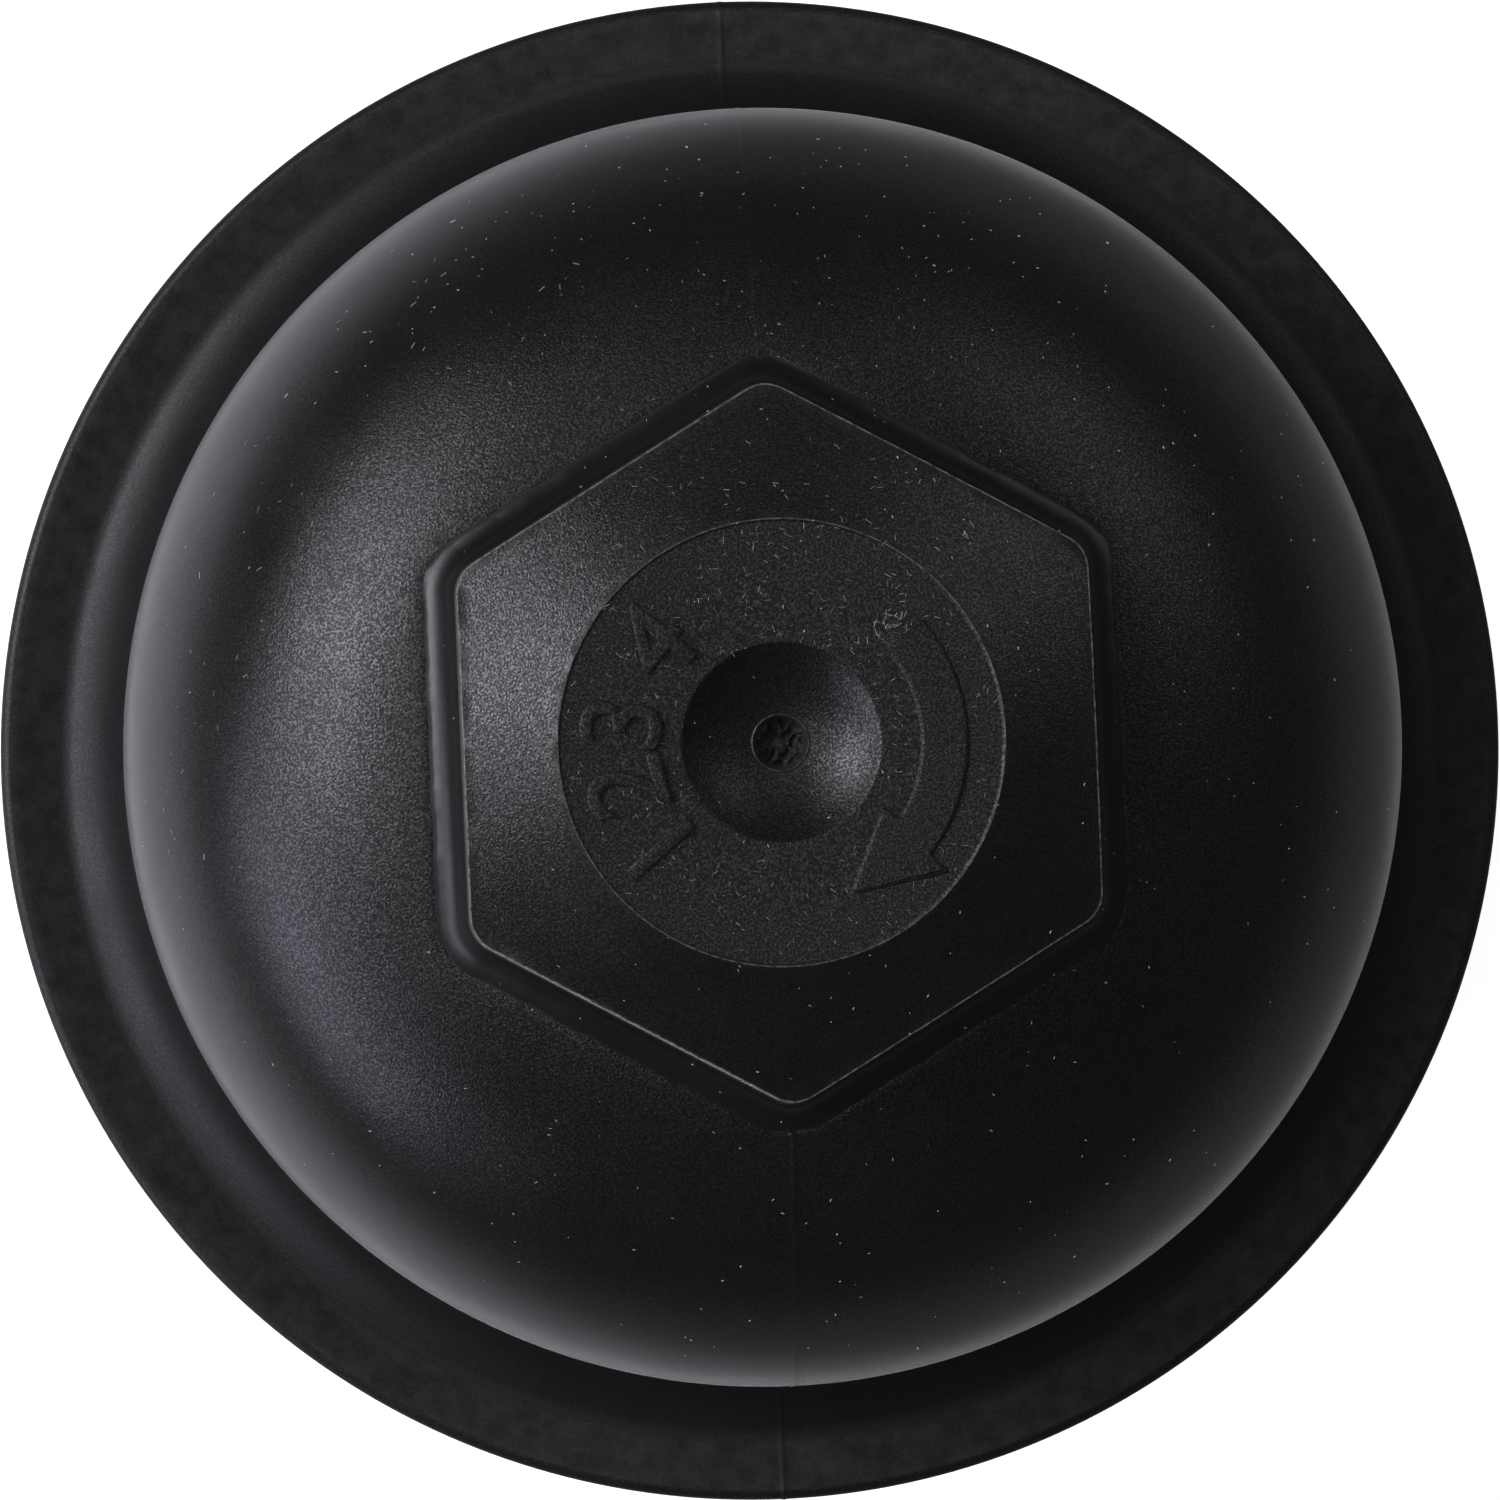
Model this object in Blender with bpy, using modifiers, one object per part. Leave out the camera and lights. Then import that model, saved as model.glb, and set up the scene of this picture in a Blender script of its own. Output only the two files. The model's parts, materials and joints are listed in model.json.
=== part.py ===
"""Screw-in cap of a car engine's oil filter, with its bypass valve and filter element.

Units are metres and +Z is up. The origin is on the axis, at the level of the foot ring
that the filter element stands on. The cap sits on top of the element, hex upwards, and
its hex has two flats that face +X and -X.
"""

import math

import bmesh
import bpy
from mathutils import Matrix

MM = 0.001

# Clearances
GAP = 0.3 * MM  # between pieces that touch on the real object
OIL_GAP = 1.5 * MM  # oil passage between the element and the cap's skirt
DISC_CLEARANCE = 1.0 * MM  # oil passage round the valve disc
CUT_MARGIN = 2.0 * MM  # how far a cutter runs past what it cuts

# Filter element
ELEMENT_RADIUS = 30.8 * MM  # outside of the end plates
PLEAT_LENGTH = 78.0 * MM
PLEAT_COUNT = 40
PLEAT_WALL = 0.65 * MM
PLATE_THICKNESS = 2.0 * MM
PLATE_RIM_WALL = 1.4 * MM
PLATE_RIM_DEPTH = 5.0 * MM
FOOT_DEPTH = 2.4 * MM  # foot ring below the lower plate
CORE_WALL = 1.6 * MM
CORE_WINDOW_ROWS = 6
CORE_WINDOW_WIDTH = 11.0 * MM
CORE_BAND = 4.0 * MM  # solid band between two rows of windows
SEAL_WALL = 1.9 * MM  # grommet wall inside the plate's hole
SEAL_FLANGE_WIDTH = 1.8 * MM
SEAL_FLANGE_THICKNESS = 1.0 * MM
SEAL_LIP = 0.3 * MM  # lip at mid height that grips the pipe

# Cap
WALL = 3.0 * MM
DOME_OVERHANG = 2.0 * MM  # dome's outside beyond the skirt's bore
DOME_HEIGHT = 39.3 * MM  # flange top to the land round the hex
DOME_CORNER = 20.0 * MM  # outer radius of the dome's round shoulder
DOME_DRAFT = math.radians(2.0)
FLARE_ARC = 5.4 * MM  # hollow curve from the dome's wall to the flange
FLARE_SWEEP = 65.0
FLANGE_THICKNESS = 4.0 * MM
FLANGE_EDGE = 1.2 * MM
FLANGE_LOWER_CHAMFER = 0.6 * MM
SEAT_WIDTH = 5.0 * MM  # flange beyond the skirt's land
ELEMENT_INSET = 4.3 * MM  # flange underside to the top of the upper plate
SKIRT_WALL = 3.1 * MM
SKIRT_LENGTH = 22.0 * MM
SKIRT_LEAD = 1.2 * MM  # chamfer at the skirt's open end
THREAD_DEPTH = 1.9 * MM
THREAD_PITCH = 4.5 * MM
THREAD_RUNOUT = 2.0 * MM  # plain band above the thread
THREAD_FOOT = 2.8 * MM
THREAD_CREST = 1.2 * MM
THREAD_SINK = 0.5 * MM  # thread ridge below the skirt's surface
LAND_HEIGHT = 1.7 * MM  # plain band above and below the seal ring's groove
LAND_STEP = 0.3 * MM  # land below the thread's crest
GROOVE_WALL = 2.3 * MM  # skirt left under the groove
MAIN_SEAL_SECTION = 3.0 * MM

# Hex drive on the cap
HEX_FLATS = 32.0 * MM
HEX_HEIGHT = 8.7 * MM  # land to the edge of the recess
HEX_CORNER = 1.8 * MM
HEX_DRAFT = math.radians(1.0)
HEX_CROWN = math.radians(22.0)
HEX_FOOT = 1.35 * MM  # skirting round the hex's base, above the land
HEX_FOOT_SINK = 2.4 * MM  # skirting below the land
HEX_SINK = 1.4 * MM  # hex below the land
RECESS_RADIUS = 11.25 * MM
RECESS_DEPTH = 0.2 * MM
DIMPLE_RADIUS = 5.0 * MM
DIMPLE_DEPTH = 1.9 * MM
GATE_RADIUS = 1.4 * MM
GATE_DEPTH = 0.4 * MM
POCKET_RISE = 2.7 * MM  # hollow inside the hex, above the land

# Bypass valve
VALVE_BORE = 9.4 * MM  # inside radius of the cage
CAGE_WALL = 2.0 * MM
NOSE_STEP = 1.0 * MM  # nose inside the cage's body, as ledge and shoulder
NOSE_LENGTH = 7.3 * MM
LEDGE_RISE = 2.0 * MM  # retainer's ledge above the shoulder
BOSS_WALL = 2.3 * MM
BOSS_LENGTH = 10.0 * MM
SOCKET_DEPTH = 7.4 * MM  # how far the cage goes into the cap's boss
SNAP_DEPTH = 0.8 * MM
SNAP_HEIGHT = 1.6 * MM
SNAP_RISE = 3.0 * MM  # snap bead above the boss's mouth
WINDOW_WIDTH = 9.0 * MM
WINDOW_HEIGHT = 9.0 * MM
FINGER_SLOT = 2.4 * MM  # between two snap fingers
WINDOW_MARGIN = 1.0 * MM  # solid band above and below the windows
SEAT_WALL = 2.9 * MM  # valve seat inwards from the cage's bore
SEAT_THICKNESS = 1.5 * MM
DISC_THICKNESS = 2.0 * MM
DISC_SEAL_THICKNESS = 0.8 * MM
DISC_SEAL_WIDTH = 2.4 * MM
STEM_RADIUS = 2.0 * MM
STEM_OVERRUN = 2.0 * MM  # stem below the retainer
RETAINER_THICKNESS = 2.0 * MM
RETAINER_SLOT = 1.7 * MM
RETAINER_SLOT_LENGTH = 5.4 * MM
SPRING_RADIUS = 5.4 * MM  # to the middle of the wire
SPRING_WIRE = 1.2 * MM
SPRING_COILS = 5
SPRING_POINTS = 10  # in one coil

# How finely round pieces are divided
CAP_STEPS = 48
RING_STEPS = 40
SMALL_STEPS = 28
DOME_STEPS = 8
FLARE_STEPS = 4
EDGE_STEPS = 3
BOWL_STEPS = 4
HEX_CORNER_STEPS = 3
SEAL_SIDES = 8
WELD = 0.001 * MM  # points nearer than this are made one

# Levels from the foot ring up
LOWER_PLATE_UNDER = FOOT_DEPTH
LOWER_PLATE_TOP = LOWER_PLATE_UNDER + PLATE_THICKNESS
PLEAT_BOTTOM = LOWER_PLATE_TOP + GAP
PLEAT_TOP = PLEAT_BOTTOM + PLEAT_LENGTH
UPPER_PLATE_UNDER = PLEAT_TOP + GAP
UPPER_PLATE_TOP = UPPER_PLATE_UNDER + PLATE_THICKNESS
UPPER_SEAL_TOP = UPPER_PLATE_TOP + GAP + SEAL_FLANGE_THICKNESS
CAGE_SHOULDER = UPPER_SEAL_TOP + GAP
FLANGE_UNDER = UPPER_PLATE_TOP + ELEMENT_INSET
FLANGE_TOP = FLANGE_UNDER + FLANGE_THICKNESS
DOME_TOP = FLANGE_TOP + DOME_HEIGHT
ROOF_UNDER = DOME_TOP - WALL
BOSS_END = ROOF_UNDER - BOSS_LENGTH
SOCKET_TOP = BOSS_END + SOCKET_DEPTH
POCKET_TOP = DOME_TOP + POCKET_RISE
CROWN_TOP = DOME_TOP + HEX_HEIGHT
GROOVE_TOP = FLANGE_UNDER - LAND_HEIGHT
GROOVE_BOTTOM = GROOVE_TOP - MAIN_SEAL_SECTION - 2 * GAP
LAND_BOTTOM = GROOVE_BOTTOM - LAND_HEIGHT
SKIRT_END = FLANGE_UNDER - SKIRT_LENGTH
CAGE_TOP = SOCKET_TOP - GAP
WINDOW_TOP = BOSS_END - WINDOW_MARGIN
WINDOW_BOTTOM = WINDOW_TOP - WINDOW_HEIGHT
SEAT_UNDER = WINDOW_BOTTOM - WINDOW_MARGIN - SEAT_THICKNESS
DISC_SEAL_TOP = SEAT_UNDER - GAP
DISC_TOP = DISC_SEAL_TOP - DISC_SEAL_THICKNESS - GAP
DISC_UNDER = DISC_TOP - DISC_THICKNESS
LEDGE = CAGE_SHOULDER + LEDGE_RISE
RETAINER_UNDER = LEDGE + GAP
RETAINER_TOP = RETAINER_UNDER + RETAINER_THICKNESS
SNAP_LEVEL = BOSS_END + SNAP_RISE

# Radii from the axis out
CAGE_RADIUS = VALVE_BORE + CAGE_WALL
NOSE_RADIUS = CAGE_RADIUS - NOSE_STEP
NOSE_BORE = NOSE_RADIUS - CAGE_WALL
SOCKET_RADIUS = CAGE_RADIUS + GAP
BOSS_RADIUS = SOCKET_RADIUS + SNAP_DEPTH + BOSS_WALL
SEAT_BORE = VALVE_BORE - SEAT_WALL
DISC_RADIUS = VALVE_BORE - DISC_CLEARANCE
SEAL_BORE = NOSE_RADIUS + GAP + SEAL_LIP
SEAL_WAIST = SEAL_BORE + SEAL_WALL
PLATE_BORE = SEAL_WAIST + GAP
SEAL_FLANGE_RADIUS = SEAL_WAIST + SEAL_FLANGE_WIDTH
CORE_BORE = SEAL_FLANGE_RADIUS + GAP
CORE_RADIUS = CORE_BORE + CORE_WALL
PLEAT_INNER = CORE_RADIUS + GAP
RIM_BORE = ELEMENT_RADIUS - PLATE_RIM_WALL
PLEAT_OUTER = RIM_BORE - GAP
SKIRT_BORE = ELEMENT_RADIUS + OIL_GAP
GROOVE_FLOOR = SKIRT_BORE + GROOVE_WALL
THREAD_ROOT = SKIRT_BORE + SKIRT_WALL
THREAD_TOP = THREAD_ROOT + THREAD_DEPTH
LAND_RADIUS = THREAD_TOP - LAND_STEP
FLANGE_RADIUS = LAND_RADIUS + SEAT_WIDTH
DOME_RADIUS = SKIRT_BORE + DOME_OVERHANG
DOME_BORE = DOME_RADIUS - WALL
MAIN_SEAL_RADIUS = GROOVE_FLOOR + GAP + MAIN_SEAL_SECTION / 2


def clear_scene():
    """Remove every object that the new file starts with."""
    for obj in list(bpy.data.objects):
        bpy.data.objects.remove(obj, do_unlink=True)


def new_collection(name):
    """A collection linked to the scene."""
    collection = bpy.data.collections.new(name)
    bpy.context.scene.collection.children.link(collection)
    return collection


def new_material(name, colour, roughness, metallic=0.0):
    """A plain Principled material."""
    material = bpy.data.materials.new(name)
    material.use_nodes = True
    shader = material.node_tree.nodes["Principled BSDF"]
    shader.inputs["Base Color"].default_value = (*colour, 1.0)
    shader.inputs["Roughness"].default_value = roughness
    shader.inputs["Metallic"].default_value = metallic
    return material


def new_body(name, level, parent=None):
    """An empty on the axis that carries the pieces of one body."""
    empty = bpy.data.objects.new(name, None)
    PARTS.objects.link(empty)
    empty.empty_display_size = ELEMENT_RADIUS
    empty.location.z = level
    if parent:
        empty.parent = parent
        empty.location.z = level - parent.matrix_world.translation.z
    bpy.context.view_layer.update()
    return empty


def place(obj, body, material):
    """Finish a piece: its material and the body that carries it."""
    obj.data.materials.append(material)
    obj.parent = body
    obj.matrix_parent_inverse = body.matrix_world.inverted()
    return obj


def as_helper(obj):
    """Keep a cutter or a joined shape out of the finished object."""
    for collection in list(obj.users_collection):
        collection.objects.unlink(obj)
    HELPERS.objects.link(obj)
    obj.hide_render = True
    obj.display_type = "WIRE"
    return obj


def arc(centre, radius, start, end, steps):
    """Profile points along a circular arc, its angles in degrees."""
    points = []
    for i in range(steps + 1):
        angle = math.radians(start + (end - start) * i / steps)
        points.append(
            (centre[0] + radius * math.cos(angle), centre[1] + radius * math.sin(angle))
        )
    return points


def turned(name, profile, steps, closed=True, pitch=0.0, turns=1.0):
    """A profile of (radius, height) points turned round the Z axis.

    A closed profile makes a ring. An open one starts and ends on the axis. With a
    pitch, the profile climbs as it turns.
    """
    mesh = bpy.data.meshes.new(name)
    count = len(profile)
    edges = [(i, (i + 1) % count) for i in range(count if closed else count - 1)]
    mesh.from_pydata([(r, 0.0, z) for r, z in profile], edges, [])
    obj = bpy.data.objects.new(name, mesh)
    PARTS.objects.link(obj)
    screw = obj.modifiers.new("Turn", "SCREW")
    screw.steps = steps
    screw.render_steps = steps
    screw.angle = 2 * math.pi * turns
    screw.screw_offset = pitch * turns
    screw.use_merge_vertices = pitch == 0.0
    screw.merge_threshold = WELD
    screw.use_smooth_shade = True
    return obj


def as_mesh(obj):
    """The evaluated shape of an object as a plain closed mesh, open ends filled."""
    graph = bpy.context.evaluated_depsgraph_get()
    mesh = bpy.data.meshes.new_from_object(obj.evaluated_get(graph))
    built = bmesh.new()
    built.from_mesh(mesh)
    bmesh.ops.remove_doubles(built, verts=built.verts, dist=WELD)
    bmesh.ops.holes_fill(built, edges=built.edges)
    bmesh.ops.recalc_face_normals(built, faces=built.faces)
    built.to_mesh(mesh)
    built.free()
    solid = bpy.data.objects.new(obj.name, mesh)
    PARTS.objects.link(solid)
    solid.matrix_world = obj.matrix_world
    bpy.data.objects.remove(obj, do_unlink=True)
    return solid


def boxes(name, places):
    """Several boxes in one helper mesh, each as (centre, size, turn about Z)."""
    mesh = bpy.data.meshes.new(name)
    built = bmesh.new()
    for centre, size, turn in places:
        made = bmesh.ops.create_cube(built, size=1.0)["verts"]
        bmesh.ops.scale(built, vec=size, verts=made)
        bmesh.ops.translate(built, vec=centre, verts=made)
        rotation = Matrix.Rotation(turn, 3, "Z")
        bmesh.ops.rotate(built, cent=(0, 0, 0), matrix=rotation, verts=made)
    built.to_mesh(mesh)
    built.free()
    obj = bpy.data.objects.new(name, mesh)
    PARTS.objects.link(obj)
    return as_helper(obj)


def boolean(obj, other, operation):
    """Join, cut or trim a piece with another shape."""
    modifier = obj.modifiers.new(other.name, "BOOLEAN")
    modifier.operation = operation
    modifier.object = other
    modifier.solver = "EXACT"
    return obj


def hex_frustum(name, bottom, top, bottom_half_flats, top_half_flats):
    """A six-sided prism with rounded corners whose sides lean, vertices towards +Y and -Y."""
    corner = 1.0 / math.cos(math.pi / 6)
    mesh = bpy.data.meshes.new(name)
    built = bmesh.new()
    bmesh.ops.create_cone(
        built,
        cap_ends=True,
        segments=6,
        radius1=bottom_half_flats * corner,
        radius2=top_half_flats * corner,
        depth=top - bottom,
        matrix=Matrix.Translation((0, 0, (top + bottom) / 2)),
    )
    upright = [e for e in built.edges if abs(e.verts[0].co.z - e.verts[1].co.z) > GAP]
    bmesh.ops.bevel(
        built,
        geom=upright,
        offset=HEX_CORNER * math.tan(math.pi / 6),
        segments=HEX_CORNER_STEPS,
        profile=0.5,
        affect="EDGES",
    )
    built.to_mesh(mesh)
    built.free()
    obj = bpy.data.objects.new(name, mesh)
    PARTS.objects.link(obj)
    return as_helper(obj)


def cap_profile():
    """Section of the cap: dome, flange, grooved skirt, then back up the inside to the boss."""
    dome_centre = (DOME_RADIUS - DOME_CORNER, DOME_TOP - DOME_CORNER)
    flare_top = FLANGE_TOP + FLARE_ARC * math.sin(math.radians(FLARE_SWEEP))
    wall_foot = DOME_RADIUS + (dome_centre[1] - flare_top) * math.tan(DOME_DRAFT)
    flange_edge = (FLANGE_RADIUS - FLANGE_EDGE, FLANGE_TOP - FLANGE_EDGE)
    outside = [(0.0, DOME_TOP)]
    flare_centre = (wall_foot + FLARE_ARC, flare_top)
    outside += arc(dome_centre, DOME_CORNER, 90, 0, DOME_STEPS)
    outside += arc(flare_centre, FLARE_ARC, 180, 180 + FLARE_SWEEP, FLARE_STEPS)
    outside += arc(flange_edge, FLANGE_EDGE, 90, 0, EDGE_STEPS)
    outside += [
        (FLANGE_RADIUS, FLANGE_UNDER + FLANGE_LOWER_CHAMFER),
        (FLANGE_RADIUS - FLANGE_LOWER_CHAMFER, FLANGE_UNDER),
        (LAND_RADIUS, FLANGE_UNDER),
        (LAND_RADIUS, GROOVE_TOP),
        (GROOVE_FLOOR, GROOVE_TOP),
        (GROOVE_FLOOR, GROOVE_BOTTOM),
        (LAND_RADIUS, GROOVE_BOTTOM),
        (LAND_RADIUS, LAND_BOTTOM),
        (THREAD_ROOT, LAND_BOTTOM - (LAND_RADIUS - THREAD_ROOT)),
        (THREAD_ROOT, SKIRT_END + SKIRT_LEAD),
        (THREAD_ROOT - SKIRT_LEAD, SKIRT_END),
    ]
    roof_arc = DOME_CORNER - WALL
    past_boss = max(0.0, BOSS_RADIUS - dome_centre[0])
    roof_sweep = math.degrees(math.acos(past_boss / roof_arc))
    inside = [
        (SKIRT_BORE, SKIRT_END),
        (SKIRT_BORE, FLANGE_UNDER),
        (DOME_BORE, FLANGE_TOP),
    ]
    inside += arc(dome_centre, roof_arc, 0, roof_sweep, DOME_STEPS)
    if past_boss == 0.0:
        inside.append((BOSS_RADIUS, ROOF_UNDER))
    inside += [
        (BOSS_RADIUS, BOSS_END),
        (SOCKET_RADIUS, BOSS_END),
        (SOCKET_RADIUS, SNAP_LEVEL),
        (SOCKET_RADIUS + SNAP_DEPTH, SNAP_LEVEL),
        (SOCKET_RADIUS + SNAP_DEPTH, SNAP_LEVEL + SNAP_HEIGHT),
        (SOCKET_RADIUS, SNAP_LEVEL + SNAP_HEIGHT + SNAP_DEPTH),
        (SOCKET_RADIUS, SOCKET_TOP),
        (0.0, SOCKET_TOP),
    ]
    return outside + inside


def hex_drive():
    """The cap's hex, its top falling away outwards as a shallow cone."""
    half = HEX_FLATS / 2
    bottom = DOME_TOP - HEX_SINK
    peak = CROWN_TOP + RECESS_RADIUS * math.tan(HEX_CROWN)
    top = peak + CUT_MARGIN
    base_half = half + (CROWN_TOP - bottom) * math.tan(HEX_DRAFT)
    top_half = half - (top - CROWN_TOP) * math.tan(HEX_DRAFT)
    drive = hex_frustum("hex", bottom, top, base_half, top_half)
    reach = HEX_FLATS
    crown_profile = [
        (0.0, peak),
        (reach, peak - reach * math.tan(HEX_CROWN)),
        (reach, bottom - CUT_MARGIN),
        (0.0, bottom - CUT_MARGIN),
    ]
    crown = as_helper(turned("hex_crown", crown_profile, CAP_STEPS, closed=False))
    return boolean(drive, crown, "INTERSECT")


def hex_skirting():
    """A sloping foot round the hex, where the mould has its fillet."""
    half = HEX_FLATS / 2 + HEX_HEIGHT * math.tan(HEX_DRAFT)
    bottom = DOME_TOP - HEX_FOOT_SINK
    rise = DOME_TOP + HEX_FOOT - bottom
    return hex_frustum("hex_foot", bottom, bottom + rise, half + rise, half)


def recess_cutter():
    """The round recess in the hex, with the dimple and the gate mark at its middle."""
    floor = CROWN_TOP - RECESS_DEPTH
    ball = (DIMPLE_RADIUS**2 + DIMPLE_DEPTH**2) / (2 * DIMPLE_DEPTH)
    centre = (0.0, floor - DIMPLE_DEPTH + ball)
    rim = -math.degrees(math.acos(DIMPLE_RADIUS / ball))
    gate = -math.degrees(math.acos(GATE_RADIUS / ball))
    bowl = arc(centre, ball, rim, gate, BOWL_STEPS)
    above = CROWN_TOP + RECESS_RADIUS
    profile = [(0.0, above), (RECESS_RADIUS, above), (RECESS_RADIUS, floor)]
    profile += bowl
    profile += [(GATE_RADIUS, bowl[-1][1] - GATE_DEPTH), (0.0, bowl[-1][1] - GATE_DEPTH)]
    return as_helper(turned("hex_recess", profile, SMALL_STEPS, closed=False))


def pocket_cutter():
    """The hollow above the cage's socket that keeps the hex from being a thick lump."""
    low = SOCKET_TOP - CUT_MARGIN
    profile = [(0.0, POCKET_TOP), (VALVE_BORE, POCKET_TOP), (VALVE_BORE, low), (0.0, low)]
    return as_helper(turned("hex_pocket", profile, SMALL_STEPS, closed=False))


def thread_ridge():
    """The skirt's right-hand thread as one trapezium carried round and up."""
    start = SKIRT_END + SKIRT_LEAD + THREAD_FOOT / 2
    run = LAND_BOTTOM - THREAD_RUNOUT - THREAD_FOOT / 2 - start
    inner = THREAD_ROOT - THREAD_SINK
    profile = [
        (inner, start + THREAD_FOOT / 2),
        (THREAD_TOP, start + THREAD_CREST / 2),
        (THREAD_TOP, start - THREAD_CREST / 2),
        (inner, start - THREAD_FOOT / 2),
    ]
    turns = run / THREAD_PITCH
    steps = round(CAP_STEPS * turns)
    ridge = turned("thread", profile, steps, pitch=THREAD_PITCH, turns=turns)
    return as_helper(as_mesh(ridge))


def cap_shell(body, material):
    """Dome, hex, flange and threaded skirt, moulded in one piece."""
    shell = turned("cap_shell", cap_profile(), CAP_STEPS, closed=False)
    boolean(shell, hex_drive(), "UNION")
    boolean(shell, hex_skirting(), "UNION")
    boolean(shell, thread_ridge(), "UNION")
    boolean(shell, pocket_cutter(), "DIFFERENCE")
    boolean(shell, recess_cutter(), "DIFFERENCE")
    return place(shell, body, material)


def main_seal_ring(body, material):
    """The O-ring in the groove under the flange."""
    bpy.ops.mesh.primitive_torus_add(
        major_segments=CAP_STEPS,
        minor_segments=SEAL_SIDES,
        major_radius=MAIN_SEAL_RADIUS,
        minor_radius=MAIN_SEAL_SECTION / 2,
        location=(0, 0, (GROOVE_TOP + GROOVE_BOTTOM) / 2),
    )
    ring = bpy.context.object
    ring.name = "main_seal_ring"
    ring.data.name = ring.name
    ring.data.shade_smooth()
    for collection in list(ring.users_collection):
        collection.objects.unlink(ring)
    PARTS.objects.link(ring)
    bpy.context.view_layer.update()
    return place(ring, body, material)


def valve_cage(body, material):
    """Tube with the valve seat, a nose for the element's seal, and four snap fingers on top."""
    bead = SOCKET_RADIUS + SNAP_DEPTH - GAP
    bead_low = SNAP_LEVEL + GAP
    bead_high = SNAP_LEVEL + SNAP_HEIGHT
    nose_end = CAGE_SHOULDER - NOSE_LENGTH
    seat_top = SEAT_UNDER + SEAT_THICKNESS
    profile = [
        (CAGE_RADIUS, CAGE_TOP),
        (CAGE_RADIUS, bead_high + SNAP_DEPTH - GAP),
        (bead, bead_high),
        (bead, bead_low),
        (CAGE_RADIUS, bead_low),
        (CAGE_RADIUS, CAGE_SHOULDER),
        (NOSE_RADIUS, CAGE_SHOULDER),
        (NOSE_RADIUS, nose_end),
        (NOSE_BORE, nose_end),
        (NOSE_BORE, LEDGE),
        (VALVE_BORE, LEDGE),
        (VALVE_BORE, SEAT_UNDER),
        (SEAT_BORE, SEAT_UNDER),
        (SEAT_BORE, seat_top),
        (VALVE_BORE, seat_top),
        (VALVE_BORE, CAGE_TOP),
    ]
    cage = turned("valve_cage", profile, SMALL_STEPS)
    across = 2 * CAGE_RADIUS + 2 * CUT_MARGIN
    middle = (0, 0, (WINDOW_TOP + WINDOW_BOTTOM) / 2)
    slot_top = CAGE_TOP + CUT_MARGIN
    slot_middle = (0, 0, (slot_top + WINDOW_BOTTOM) / 2)
    slot_size = (across, FINGER_SLOT, slot_top - WINDOW_BOTTOM)
    for index, turn in enumerate((math.pi / 4, 3 * math.pi / 4)):
        window = [(middle, (across, WINDOW_WIDTH, WINDOW_HEIGHT), turn)]
        slot = [(slot_middle, slot_size, turn)]
        boolean(cage, boxes(f"cage_window_{index}", window), "DIFFERENCE")
        boolean(cage, boxes(f"cage_slot_{index}", slot), "DIFFERENCE")
    return place(cage, body, material)


def valve_disc(body, material):
    """The valve's plate with a spigot for its seal and a stem that the retainer guides."""
    spigot = DISC_RADIUS - DISC_SEAL_WIDTH - GAP
    stem_end = RETAINER_UNDER - STEM_OVERRUN
    profile = [
        (0.0, DISC_SEAL_TOP),
        (spigot, DISC_SEAL_TOP),
        (spigot, DISC_TOP),
        (DISC_RADIUS, DISC_TOP),
        (DISC_RADIUS, DISC_UNDER),
        (STEM_RADIUS, DISC_UNDER),
        (STEM_RADIUS, stem_end),
        (0.0, stem_end),
    ]
    return place(turned("valve_disc", profile, SMALL_STEPS, closed=False), body, material)


def valve_disc_seal(body, material):
    """The flat rubber ring that the disc presses on the seat."""
    inner = DISC_RADIUS - DISC_SEAL_WIDTH
    low = DISC_TOP + GAP
    profile = [
        (DISC_RADIUS, DISC_SEAL_TOP),
        (DISC_RADIUS, low),
        (inner, low),
        (inner, DISC_SEAL_TOP),
    ]
    return place(turned("valve_disc_seal", profile, SMALL_STEPS), body, material)


def spring_retainer(body, material):
    """The plate that holds up the spring and guides the stem, with four oil slots."""
    outer = VALVE_BORE - GAP
    hole = STEM_RADIUS + GAP
    profile = [
        (outer, RETAINER_TOP),
        (outer, RETAINER_UNDER),
        (hole, RETAINER_UNDER),
        (hole, RETAINER_TOP),
    ]
    retainer = turned("spring_retainer", profile, SMALL_STEPS)
    slot_inner = SPRING_RADIUS + SPRING_WIRE / 2
    middle = (slot_inner + RETAINER_SLOT / 2, 0, (RETAINER_TOP + RETAINER_UNDER) / 2)
    size = (RETAINER_SLOT, RETAINER_SLOT_LENGTH, RETAINER_THICKNESS + 2 * CUT_MARGIN)
    slots = boxes("retainer_slots", [(middle, size, i * math.pi / 2) for i in range(4)])
    boolean(retainer, slots, "DIFFERENCE")
    return place(retainer, body, material)


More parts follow.
